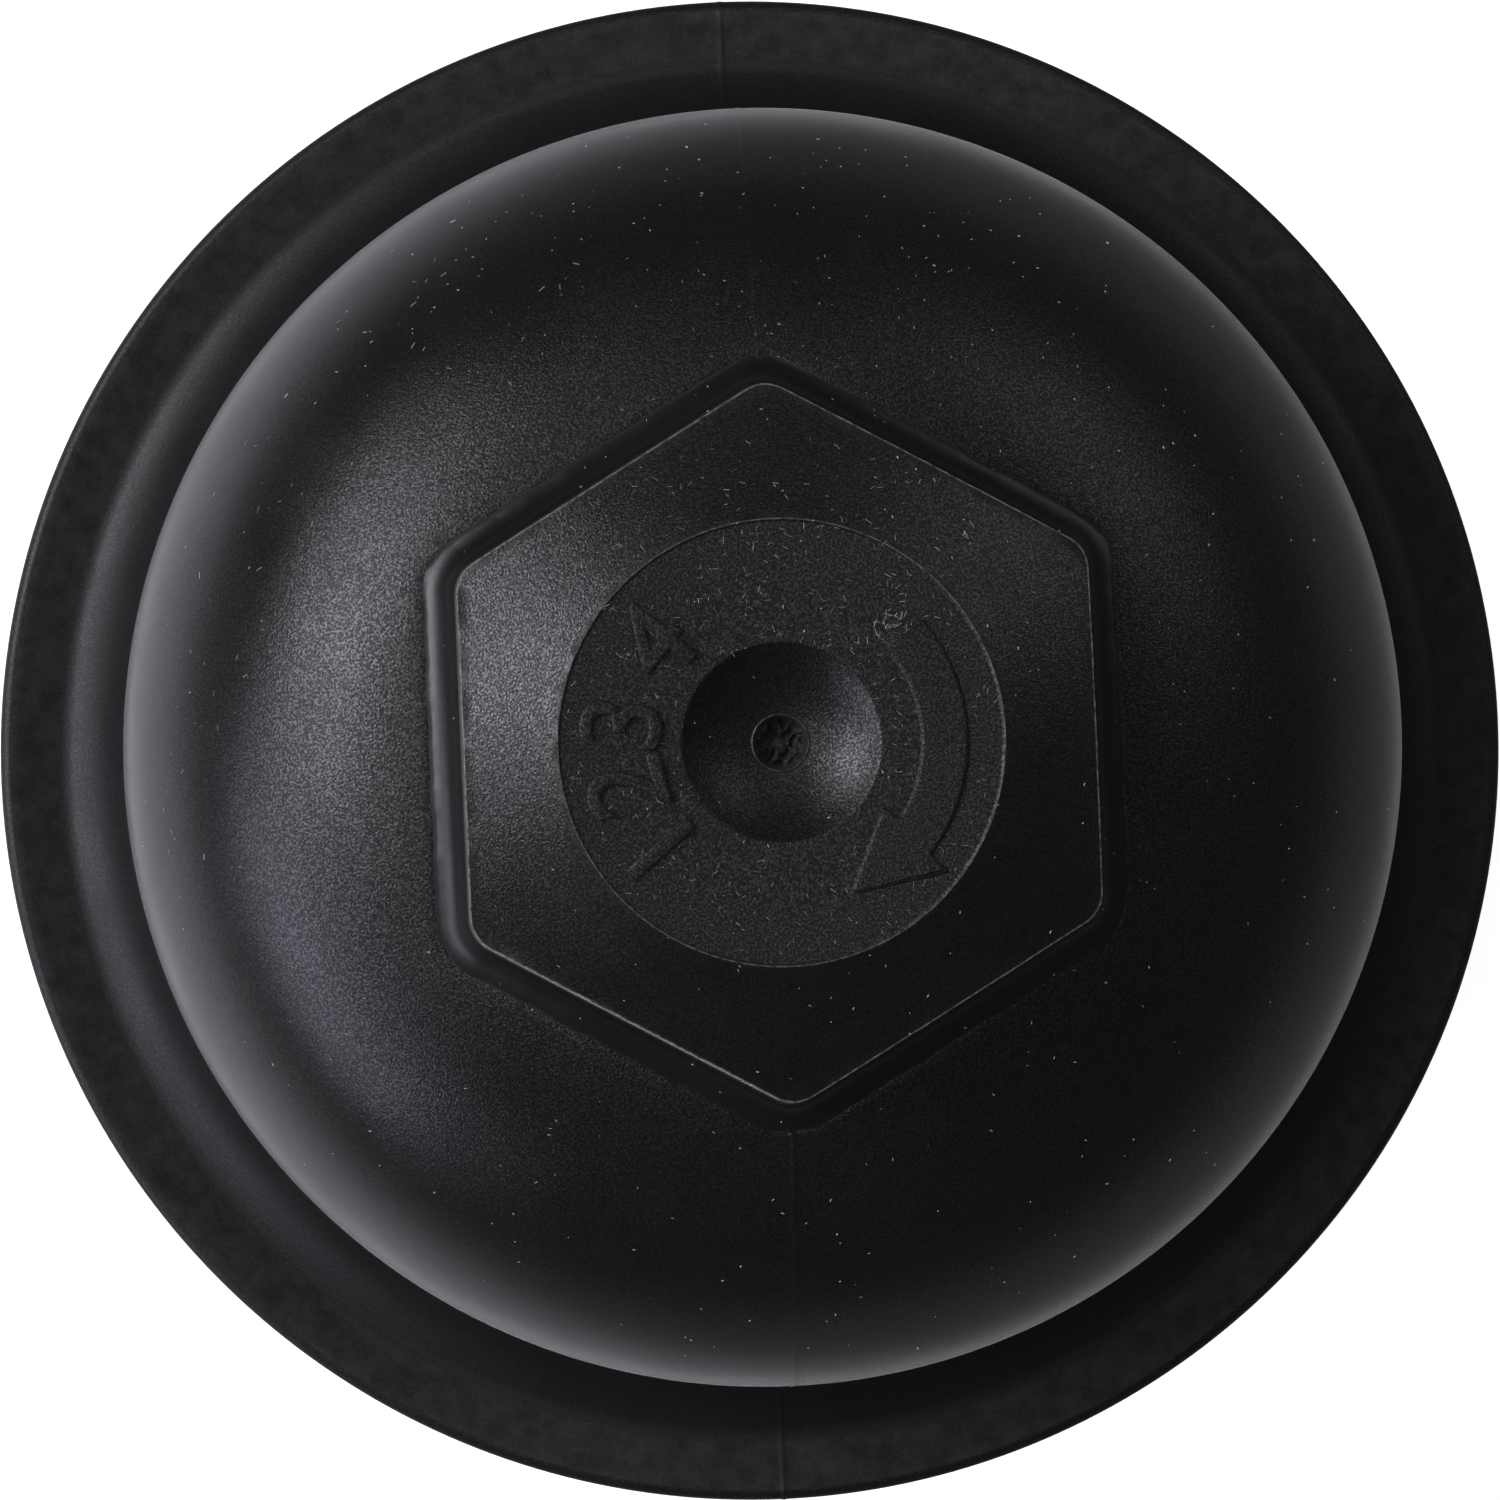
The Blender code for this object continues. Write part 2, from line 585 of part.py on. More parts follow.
def valve_spring(body, material):
    """The coil spring between the disc and the retainer, one unbroken wire."""
    half_wire = SPRING_WIRE / 2
    low = RETAINER_TOP + GAP + half_wire
    high = DISC_UNDER - GAP - half_wire
    count = SPRING_COILS * SPRING_POINTS
    points = []
    for i in range(count + 1):
        angle = 2 * math.pi * i / SPRING_POINTS
        height = low + (high - low) * i / count
        points.append((SPRING_RADIUS * math.cos(angle), SPRING_RADIUS * math.sin(angle), height))
    curve = bpy.data.curves.new("valve_spring", "CURVE")
    curve.dimensions = "3D"
    curve.bevel_depth = half_wire
    curve.bevel_resolution = 1
    curve.use_fill_caps = True
    spline = curve.splines.new("POLY")
    spline.points.add(len(points) - 1)
    for point, place_at in zip(spline.points, points):
        point.co = (*place_at, 1.0)
    spring = bpy.data.objects.new("valve_spring", curve)
    PARTS.objects.link(spring)
    far_apart = SPRING_POINTS // 2
    least = min(
        math.dist(points[i], points[j])
        for i in range(count + 1)
        for j in range(i + far_apart, count + 1)
    )
    print(f"valve_spring: least gap to itself {(least - SPRING_WIRE) / MM:.2f} mm")
    return place(spring, body, material)


def grommet(name, plate_under, plate_top, body, material):
    """A rubber ring that grips an end plate's hole, with a lip for the pipe inside it."""
    top = plate_top + GAP + SEAL_FLANGE_THICKNESS
    bottom = plate_under - GAP - SEAL_FLANGE_THICKNESS
    profile = [
        (SEAL_BORE, top),
        (SEAL_FLANGE_RADIUS, top),
        (SEAL_FLANGE_RADIUS, plate_top + GAP),
        (SEAL_WAIST, plate_top + GAP),
        (SEAL_WAIST, plate_under - GAP),
        (SEAL_FLANGE_RADIUS, plate_under - GAP),
        (SEAL_FLANGE_RADIUS, bottom),
        (SEAL_BORE, bottom),
        (SEAL_BORE - SEAL_LIP, (top + bottom) / 2),
    ]
    return place(turned(name, profile, RING_STEPS), body, material)


def upper_end_plate(body, material):
    """The element's top plate, its rim turned down round the pleats."""
    rim_end = UPPER_PLATE_UNDER - PLATE_RIM_DEPTH
    profile = [
        (ELEMENT_RADIUS, UPPER_PLATE_TOP),
        (ELEMENT_RADIUS, rim_end),
        (RIM_BORE, rim_end),
        (RIM_BORE, UPPER_PLATE_UNDER),
        (PLATE_BORE, UPPER_PLATE_UNDER),
        (PLATE_BORE, UPPER_PLATE_TOP),
    ]
    return place(turned("upper_end_plate", profile, RING_STEPS), body, material)


def lower_end_plate(body, material):
    """The element's bottom plate, its rim turned up round the pleats and down as a foot."""
    rim_top = LOWER_PLATE_TOP + PLATE_RIM_DEPTH
    profile = [
        (ELEMENT_RADIUS, rim_top),
        (ELEMENT_RADIUS, 0.0),
        (RIM_BORE, 0.0),
        (RIM_BORE, LOWER_PLATE_UNDER),
        (PLATE_BORE, LOWER_PLATE_UNDER),
        (PLATE_BORE, LOWER_PLATE_TOP),
        (RIM_BORE, LOWER_PLATE_TOP),
        (RIM_BORE, rim_top),
    ]
    return place(turned("lower_end_plate", profile, RING_STEPS), body, material)


def support_core(body, material):
    """The windowed tube that keeps the pleats from folding inwards."""
    profile = [
        (CORE_RADIUS, PLEAT_TOP),
        (CORE_RADIUS, PLEAT_BOTTOM),
        (CORE_BORE, PLEAT_BOTTOM),
        (CORE_BORE, PLEAT_TOP),
    ]
    core = turned("support_core", profile, SMALL_STEPS)
    across = 2 * CORE_RADIUS + 2 * CUT_MARGIN
    row = (PLEAT_LENGTH - CORE_BAND) / CORE_WINDOW_ROWS
    size = (across, CORE_WINDOW_WIDTH, row - CORE_BAND)
    for index, turn in enumerate((0.0, math.pi / 2)):
        places = []
        for i in range(CORE_WINDOW_ROWS):
            height = PLEAT_BOTTOM + CORE_BAND / 2 + row * (i + 0.5)
            places.append(((0, 0, height), size, turn))
        boolean(core, boxes(f"core_windows_{index}", places), "DIFFERENCE")
    return place(core, body, material)


def pleat_outlines():
    """The pleated sheet's outer and inner outline, three points a pleat on each."""
    half_turn = math.pi / PLEAT_COUNT
    outer = []
    inner = []
    for i in range(PLEAT_COUNT):
        fold = 2 * half_turn * i
        tip = PLEAT_WALL / PLEAT_OUTER
        root = PLEAT_WALL / PLEAT_INNER
        outer += [
            (PLEAT_OUTER, fold - tip),
            (PLEAT_OUTER, fold + tip),
            (PLEAT_INNER + PLEAT_WALL, fold + half_turn),
        ]
        inner += [
            (PLEAT_OUTER - PLEAT_WALL, fold),
            (PLEAT_INNER, fold + half_turn - root),
            (PLEAT_INNER, fold + half_turn + root),
        ]
    return outer, inner


def filter_pleats(body, material):
    """The folded filter paper, one closed zigzag between the end plates."""
    curve = bpy.data.curves.new("filter_pleats", "CURVE")
    curve.dimensions = "2D"
    curve.fill_mode = "BOTH"
    curve.extrude = PLEAT_LENGTH / 2
    for outline in pleat_outlines():
        spline = curve.splines.new("POLY")
        spline.points.add(len(outline) - 1)
        for point, (radius, angle) in zip(spline.points, outline):
            point.co = (radius * math.cos(angle), radius * math.sin(angle), 0.0, 1.0)
        spline.use_cyclic_u = True
    pleats = bpy.data.objects.new("filter_pleats", curve)
    PARTS.objects.link(pleats)
    pleats.location.z = (PLEAT_TOP + PLEAT_BOTTOM) / 2
    bpy.context.view_layer.update()
    return place(pleats, body, material)


def main():
    """Build every piece on its body."""
    nylon = new_material("black_glass_filled_nylon", (0.012, 0.012, 0.013), 0.5)
    seal_rubber = new_material("nitrile_rubber", (0.02, 0.02, 0.02), 0.6)
    valve_plastic = new_material("grey_nylon", (0.08, 0.085, 0.09), 0.45)
    steel = new_material("spring_steel", (0.5, 0.5, 0.5), 0.3, 1.0)
    plate_plastic = new_material("plate_plastic", (0.03, 0.035, 0.04), 0.5)
    paper = new_material("filter_paper", (0.72, 0.55, 0.25), 0.9)

    element = new_body("element", 0.0)
    cage = new_body("cage", CAGE_SHOULDER, element)
    cap = new_body("cap", FLANGE_TOP, cage)
    valve = new_body("valve", DISC_TOP, cage)

    lower_end_plate(element, plate_plastic)
    upper_end_plate(element, plate_plastic)
    filter_pleats(element, paper)
    support_core(element, plate_plastic)
    grommet("upper_seal", UPPER_PLATE_UNDER, UPPER_PLATE_TOP, element, seal_rubber)
    grommet("lower_seal", LOWER_PLATE_UNDER, LOWER_PLATE_TOP, element, seal_rubber)
    valve_cage(cage, valve_plastic)
    spring_retainer(cage, valve_plastic)
    valve_spring(cage, steel)
    valve_disc(valve, valve_plastic)
    valve_disc_seal(valve, seal_rubber)
    cap_shell(cap, nylon)
    main_seal_ring(cap, seal_rubber)


clear_scene()
PARTS = new_collection("oil_filter_cap")
HELPERS = new_collection("oil_filter_cap_cutters")
main()
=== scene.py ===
"""Looks of a screw-in oil filter cap: moulded shell, seals, bypass valve and filter element.

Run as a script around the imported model. Lengths are metres, +Z is up, and every piece is
made in the frame of the CAD model.
"""

import json
import math

import bmesh
import bpy
import numpy as np
from bpy.props import FloatProperty, FloatVectorProperty, PointerProperty
from mathutils import Matrix, Vector


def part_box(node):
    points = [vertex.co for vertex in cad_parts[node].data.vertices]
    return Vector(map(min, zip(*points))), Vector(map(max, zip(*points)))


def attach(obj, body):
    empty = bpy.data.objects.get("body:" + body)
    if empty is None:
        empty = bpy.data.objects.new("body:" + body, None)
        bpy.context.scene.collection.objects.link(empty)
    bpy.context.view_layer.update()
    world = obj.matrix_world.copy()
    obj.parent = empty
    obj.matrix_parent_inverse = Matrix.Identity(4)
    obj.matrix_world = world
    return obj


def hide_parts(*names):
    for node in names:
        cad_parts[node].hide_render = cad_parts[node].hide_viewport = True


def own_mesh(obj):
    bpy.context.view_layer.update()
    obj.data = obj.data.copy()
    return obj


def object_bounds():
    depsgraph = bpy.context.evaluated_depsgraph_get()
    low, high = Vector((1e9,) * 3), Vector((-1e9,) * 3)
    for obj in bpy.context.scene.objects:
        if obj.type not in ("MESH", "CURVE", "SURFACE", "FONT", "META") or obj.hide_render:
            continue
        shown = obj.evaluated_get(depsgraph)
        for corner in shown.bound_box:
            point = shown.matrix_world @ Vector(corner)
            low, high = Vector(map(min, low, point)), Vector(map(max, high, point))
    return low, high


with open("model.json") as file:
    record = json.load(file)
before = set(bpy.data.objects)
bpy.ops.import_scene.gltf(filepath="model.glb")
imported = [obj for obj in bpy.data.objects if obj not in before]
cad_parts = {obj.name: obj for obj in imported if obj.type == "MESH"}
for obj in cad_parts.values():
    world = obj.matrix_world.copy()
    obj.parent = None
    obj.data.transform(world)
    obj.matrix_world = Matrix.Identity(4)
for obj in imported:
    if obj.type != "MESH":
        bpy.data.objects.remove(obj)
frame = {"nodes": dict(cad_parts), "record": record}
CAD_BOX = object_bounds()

bl_info = {
    "name": "Oil Filter Cap",
    "version": (1, 0, 0),
    "blender": (4, 5, 0),
    "location": "View3D > Sidebar > Oil Filter Cap",
    "description": "Builds the moulded shell, seals, valve and element of an oil filter cap",
    "category": "Add Mesh",
}

MM = 0.001
MOUNTS = {mount["name"]: Vector(mount["pos_m"]) for mount in frame["record"]["mounts"]}
FLANGE_UNDER = MOUNTS["flange_seat"].z
# Gap between neighbouring pieces, as in the CAD model.
GAP = 0.3 * MM
# Columns of the cap's grid, and the angles of the mould's two parting lines in degrees.
COLUMNS = 300
PARTING_ANGLES = (90.0, 270.0)
# Run of the burr at the recess's edge, out over the hex's top.
BURR_RUN = 0.1 * MM
# Points nearer than this become one, and edges past this angle are shaded sharp.
WELD_DISTANCE = 1e-7
SHARP_EDGE = math.radians(50)

CAP_NYLON = "glass-filled nylon, spark-eroded"
SKIN_FIBRE = "glass fibre, exposed"
SEAL_RUBBER = "nitrile rubber, moulded"
VALVE_NYLON = "valve nylon, moulded"
PLATE_PLASTIC = "plate plastic, moulded"
FILTER_PAPER = "filter paper, resin-treated"
SPRING_STEEL = "spring steel, drawn"


def low(node):
    """Lowest corner of a CAD node."""
    return Vector(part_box(node)[0])


def high(node):
    """Highest corner of a CAD node."""
    return Vector(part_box(node)[1])


def linear(code):
    """An sRGB hex colour such as #1a2b3c as linear red, green and blue."""
    srgb = np.array([int(code[i : i + 2], 16) for i in (1, 3, 5)]) / 255
    return tuple(np.where(srgb <= 0.04045, srgb / 12.92, ((srgb + 0.055) / 1.055) ** 2.4))


def size(name, description, default):
    """A length that a user would change."""
    return FloatProperty(name=name, description=description, default=default, unit="LENGTH", precision=5)


def degrees(name, description, default):
    """An angle that a user would change, given in degrees."""
    return FloatProperty(
        name=name, description=description, default=math.radians(default), unit="ROTATION", precision=5
    )


def colour(name, description, default):
    """A colour that a user would change, given as sRGB hex."""
    return FloatVectorProperty(
        name=name, description=description, default=linear(default), subtype="COLOR", min=0, max=1
    )


class CapSizes(bpy.types.PropertyGroup):
    """Sizes of the moulded cap."""

    flange_radius: size("Flange radius", "Outside of the flange", high("cap_shell").x)
    flange_thickness: size("Flange thickness", "Flange from face to face", 4.0 * MM)
    flange_edge: size("Flange edge", "Rounding of the flange's upper edge", 0.6 * MM)
    flange_rise: degrees("Flange rise", "Slope of its upper face, up to its edge", 12.0)
    land_radius: size("Land radius", "Skirt above and below the seal ring", 37.0 * MM)
    land_height: size("Land height", "Band above and below the groove", 1.7 * MM)
    groove_floor: size("Groove floor", "Radius of the seal ring's groove", 34.6 * MM)
    groove_width: size("Groove width", "Height of the seal ring's groove", 3.6 * MM)
    skirt_radius: size("Skirt radius", "Skirt at the root of the thread", 35.4 * MM)
    skirt_bore: size("Skirt bore", "Inside radius of the skirt", 32.3 * MM)
    skirt_lead: size("Skirt lead", "Chamfer at the skirt's open end", 1.2 * MM)
    thread_pitch: size("Thread pitch", "Rise of the thread in one turn", 4.5 * MM)
    thread_depth: size("Thread depth", "Crest above the skirt", 1.9 * MM)
    thread_foot: size("Thread foot", "Width of the thread at the skirt", 2.8 * MM)
    thread_crest: size("Thread crest", "Width of the thread at its crest", 1.2 * MM)
    dome_radius: size("Dome radius", "Dome at the top of its wall", 34.3 * MM)
    dome_corner: size("Dome shoulder", "Radius of the dome's round shoulder", 20.0 * MM)
    dome_draft: degrees("Dome draft", "Lean of the dome's wall", 2.0)
    flare_arc: size("Flare", "Radius of the hollow curve above the flange", 5.4 * MM)
    flare_sweep: degrees("Flare sweep", "Angle of that curve", 65)
    valley_arc: size("Valley", "Radius of the hollow between flare and flange", 1.5 * MM)
    wall: size("Wall", "Thickness of the moulding", 3.0 * MM)
    hex_height: size("Hex height", "Land round the hex to its crown", 8.7 * MM)
    hex_flats: size("Hex", "Width across the flats at the crown", 32.0 * MM)
    hex_corner: size("Hex corner", "Rounding of the six corners", 1.8 * MM)
    hex_draft: degrees("Hex draft", "Lean of the hex's flats", 1.0)
    hex_crown: degrees("Hex crown", "Fall of the hex's top to its edges", 22.0)
    hex_edge: size("Hex edge", "Rounding of the hex's top edge", 0.09 * MM)
    hex_fillet: size("Hex fillet", "Radius of the hollow curve at the hex's foot", 2.5 * MM)
    hex_gutter: size("Gutter", "Depth of the shallow gutter round the hex's foot", 0.07 * MM)
    hex_fillet_sweep: degrees("Fillet sweep", "Angle of that curve", 70)
    recess_radius: size("Recess", "Radius of the round recess", 11.25 * MM)
    recess_depth: size("Recess depth", "Depth at its edge", 0.06 * MM)
    recess_dish: size("Recess dish", "How far the recess's floor sinks to its middle", 0.15 * MM)
    dimple_radius: size("Dimple", "Radius of the dimple", 5.0 * MM)
    dimple_depth: size("Dimple depth", "Depth of the dimple", 1.85 * MM)
    gate_radius: size("Gate", "Radius of the broken gate", 1.35 * MM)
    mark_height: size("Mark height", "Raised marks above the recess's floor", 0.17 * MM)
    boss_radius: size("Boss", "Outside of the boss that holds the valve cage", 14.8 * MM)
    boss_bore: size("Boss bore", "Inside of that boss", 11.7 * MM)
    boss_length: size("Boss length", "Boss below the roof", 10.0 * MM)
    socket_depth: size("Socket depth", "Depth of the boss's bore", 7.4 * MM)
    pocket_radius: size("Pocket", "Radius of the hollow inside the hex", 9.4 * MM)
    pocket_rise: size("Pocket rise", "Hollow above the land", 2.7 * MM)


class ElementSizes(bpy.types.PropertyGroup):
    """Sizes of the filter element."""

    plate: size("Plate", "Thickness of an end plate", 2.0 * MM)
    rim_wall: size("Rim", "Wall of an end plate's rim", 1.4 * MM)
    plate_bore: size("Plate bore", "Hole in an end plate", 13.2 * MM)
    pleat_wall: size("Paper", "Thickness of the filter paper", 0.65 * MM)
    seal_lip: size("Seal lip", "Lip inside a grommet", 0.3 * MM)
    seal_flange: size("Seal flange", "Thickness of a grommet's flange", 1.0 * MM)


class FinishColours(bpy.types.PropertyGroup):
    """Colours of the materials."""

    nylon: colour("Nylon", "Black glass-filled nylon of the cap", "#131211")
    fleck: colour("Fleck", "Glass fibre and dust that shows at the nylon's skin", "#aaa69f")
    rubber: colour("Rubber", "Seals", "#1d1b1a")
    valve_nylon: colour("Valve nylon", "Cage, disc and retainer", "#4a4d50")
    plate: colour("Plate", "End plates and core", "#23272b")
    paper: colour("Paper", "Filter paper", "#d9b776")
    steel: colour("Steel", "Spring wire", "#b4b4b6")
    floor: colour("Floor", "Floor under the object", "#f2f2f2")


class StageSizes(bpy.types.PropertyGroup):
    """Camera and lamps."""

    camera_height: size("Camera height", "Above the flange's face", 480.0 * MM)
    camera_left: size("Camera to the left", "Off the axis, as the picture lies", 15.0 * MM)
    camera_down: size("Camera down", "Off the axis, towards the picture's foot", 3.84 * MM)
    camera_turn: degrees("Turn", "Hex turned anticlockwise in the picture", 2.49)
    aim_left: size("Aim to the left", "Picture's middle off the axis", 0.11 * MM)
    lens: FloatProperty(name="Lens", description="Focal length", default=205.9, unit="CAMERA")
    key: FloatProperty(name="Key", description="Watts of the softbox at the upper left", default=3.05)
    side: FloatProperty(name="Side", description="Watts of the low softbox at the left", default=1.4)
    fill: FloatProperty(name="Fill", description="Watts of the softbox at the right", default=0.32)
    overhead: FloatProperty(name="Overhead", description="Watts of the softbox overhead", default=0.38)
    back: FloatProperty(name="Back", description="Watts of the softbox at the top", default=0.14)
    sky: FloatProperty(name="Sky", description="Light from all round on matte skins", default=0.45)
    gloss_sky: FloatProperty(name="Sky in gloss", description="What gloss shows of it", default=0.038)


# Shapes


def columns():
    """Angles round the axis, evenly spaced, with more of them at the mould's two parting lines."""
    even = np.arange(COLUMNS) * 360.0 / COLUMNS
    near = np.array([0.12, 0.25, 0.4, 0.65])
    extra = [angle + sign * near for angle in PARTING_ANGLES for sign in (-1, 1)]
    return np.radians(np.sort(np.concatenate([even, *extra])))


def hexagon(theta, half_flats, corner):
    """Radius of a hexagon with rounded corners, flats towards 0, 60, 120 degrees and so on.

    On a flat the radius is half_flats / cos(angle from the flat's normal). On a corner it
    is where the ray meets a circle of the corner's radius.
    """
    sixth = math.pi / 3
    folded = np.abs((theta + sixth / 2) % sixth - sixth / 2)
    centre = (half_flats - corner) / math.cos(sixth / 2)
    flat_end = np.arctan2((half_flats - corner) * math.tan(sixth / 2), half_flats)
    off_corner = sixth / 2 - folded
    reach = np.maximum(corner**2 - (centre * np.sin(off_corner)) ** 2, 0.0)
    on_corner = centre * np.cos(off_corner) + np.sqrt(reach)
    return np.where(folded < flat_end, half_flats / np.cos(folded), on_corner)


def steps(count, start=0.0, end=1.0):
    """A column of evenly spaced numbers, one for each row of a band."""
    return np.linspace(start, end, count)[:, None]


def circle(count):
    """Angles of one full turn, evenly spaced, with its end left out."""
    return np.linspace(0, 2 * math.pi, count, endpoint=False)


def bend(first, corner, last, share):
    """Points of a quadratic curve: (1-s)^2 first + 2 s (1-s) corner + s^2 last."""
    return (1 - share) ** 2 * first + 2 * share * (1 - share) * corner + share**2 * last


def rounded(profile, radius, arc_steps=5):
    """A closed profile of (radius, height) points with each corner bent over about that radius."""
    points = np.array(profile, float)
    before = np.roll(points, 1, axis=0) - points
    after = np.roll(points, -1, axis=0) - points
    length_before = np.linalg.norm(before, axis=1, keepdims=True)
    length_after = np.linalg.norm(after, axis=1, keepdims=True)
    cut = np.minimum(radius, 0.45 * np.minimum(length_before, length_after))
    share = np.linspace(0, 1, arc_steps)[None, :, None]
    first = (points + before / length_before * cut)[:, None]
    last = (points + after / length_after * cut)[:, None]
    return bend(first, points[:, None], last, share).reshape(-1, 2)


def grid_faces(rows, across, close_rows):
    """Corner numbers of the quads of a grid, wrapped round its columns and, if asked, its rows."""
    row = np.arange(rows if close_rows else rows - 1)[:, None]
    column = np.arange(across)[None, :]
    next_row = (row + 1) % rows
    next_column = (column + 1) % across
    corners = (
        row * across + column,
        next_row * across + column,
        next_row * across + next_column,
        row * across + next_column,
    )
    return np.stack(np.broadcast_arrays(*corners), axis=-1).reshape(-1, 4)


def weld(mesh):
    """Merge the points that meet at a pole, and drop the faces that vanish there."""
    built = bmesh.new()
    built.from_mesh(mesh)
    bmesh.ops.remove_doubles(built, verts=built.verts, dist=WELD_DISTANCE)
    built.to_mesh(mesh)
    built.free()


def store(mesh, **fields):
    """Give each point of a mesh a number in every named field. One number stands for all points."""
    for name, values in fields.items():
        layer = mesh.attributes.new(name, "FLOAT", "POINT")
        flat = np.broadcast_to(np.ravel(values), len(mesh.vertices))
        layer.data.foreach_set("value", np.ascontiguousarray(flat, np.float32))


def add_object(name, data):
    """An object for a mesh, a curve, a lamp or a camera, linked to the scene."""
    obj = bpy.data.objects.new(name, data)
    bpy.context.scene.collection.objects.link(obj)
    return obj


def smooth_object(name, mesh):
    """An object for a mesh, shaded smooth between its sharp edges."""
    mesh.shade_smooth()
    mesh.set_sharp_from_angle(angle=SHARP_EDGE)
    return add_object(name, mesh)


def surface(name, points, close_rows=False, cap_ends=False, **fields):
    """A mesh object from a grid of points, rows by columns, welded at its poles."""
    rows, across = points.shape[:2]
    faces = grid_faces(rows, across, close_rows).tolist()
    if cap_ends:
        faces.append(list(range(across)))
        faces.append(list(range((rows - 1) * across, rows * across))[::-1])
    mesh = bpy.data.meshes.new(name)
    mesh.from_pydata(points.reshape(-1, 3), [], faces)
    store(mesh, **fields)
    weld(mesh)
    return smooth_object(name, mesh)


def ring_points(radius, height, theta):
    """Points of a turned shape: (radius cos, radius sin, height)."""
    radius, height, theta = np.broadcast_arrays(radius, height, theta)
    return np.stack([radius * np.cos(theta), radius * np.sin(theta), height], axis=-1)


def turned(name, profile, around=192, closed=True):
    """A profile, down its outside and, if closed, up its inside, turned round the axis."""
    points = ring_points(profile[:, :1], profile[:, 1:], circle(around)[None, :])
    return surface(name, points, close_rows=closed)


def sector(name, profile, middle, half_angle, around=14):
    """A closed profile carried over part of a turn, with flat ends."""
    theta = steps(around, middle - half_angle, middle + half_angle)
    points = ring_points(profile[None, :, 0], profile[None, :, 1], theta)
    return surface(name, points[::-1], cap_ends=True)


def joined(name, pieces):
    """Several closed meshes made one object, all their faces turned outwards."""
    built = bmesh.new()
    for piece in pieces:
        built.from_mesh(piece.data)
    bmesh.ops.remove_doubles(built, verts=built.verts, dist=WELD_DISTANCE)
    bmesh.ops.recalc_face_normals(built, faces=built.faces)
    mesh = bpy.data.meshes.new(name)
    built.to_mesh(mesh)
    built.free()
    for piece in pieces:
        bpy.data.objects.remove(piece, do_unlink=True)
    return smooth_object(name, mesh)


# Materials


def set_inputs(tree, node, inputs):
    """Set or link each input of a node. A node given as a value stands for its first output."""
    for key, value in inputs.items():
        if isinstance(value, bpy.types.Node):
            value = value.outputs[0]
        if isinstance(value, bpy.types.NodeSocket):
            tree.links.new(value, node.inputs[key])
        else:
            node.inputs[key].default_value = value


def add_node(tree, kind, inputs=None, **settings):
    """Add a node with its own settings, and set or link its inputs."""
    node = tree.nodes.new(kind)
    for key, value in settings.items():
        setattr(node, key, value)
    set_inputs(tree, node, inputs or {})
    return node


def span(value, from_low, from_high, to_low, to_high):
    """Inputs of a Map Range node, which moves a value from one range to another and holds it there."""
    return {
        "Value": value,
        "From Min": from_low,
        "From Max": from_high,
        "To Min": to_low,
        "To Max": to_high,
    }


def lumps_of(place, millimetres, detail=2.0):
    """Inputs of a Noise Texture node whose lumps are about that many millimetres wide."""
    return {"Vector": place, "Scale": 1 / (millimetres * MM), "Detail": detail}


def new_material(name):
    """A material with its Principled shader and Object coordinates."""
    material = bpy.data.materials.new(name)
    material.use_nodes = True
    tree = material.node_tree
    place = add_node(tree, "ShaderNodeTexCoord").outputs["Object"]
    return material, tree, tree.nodes["Principled BSDF"], place


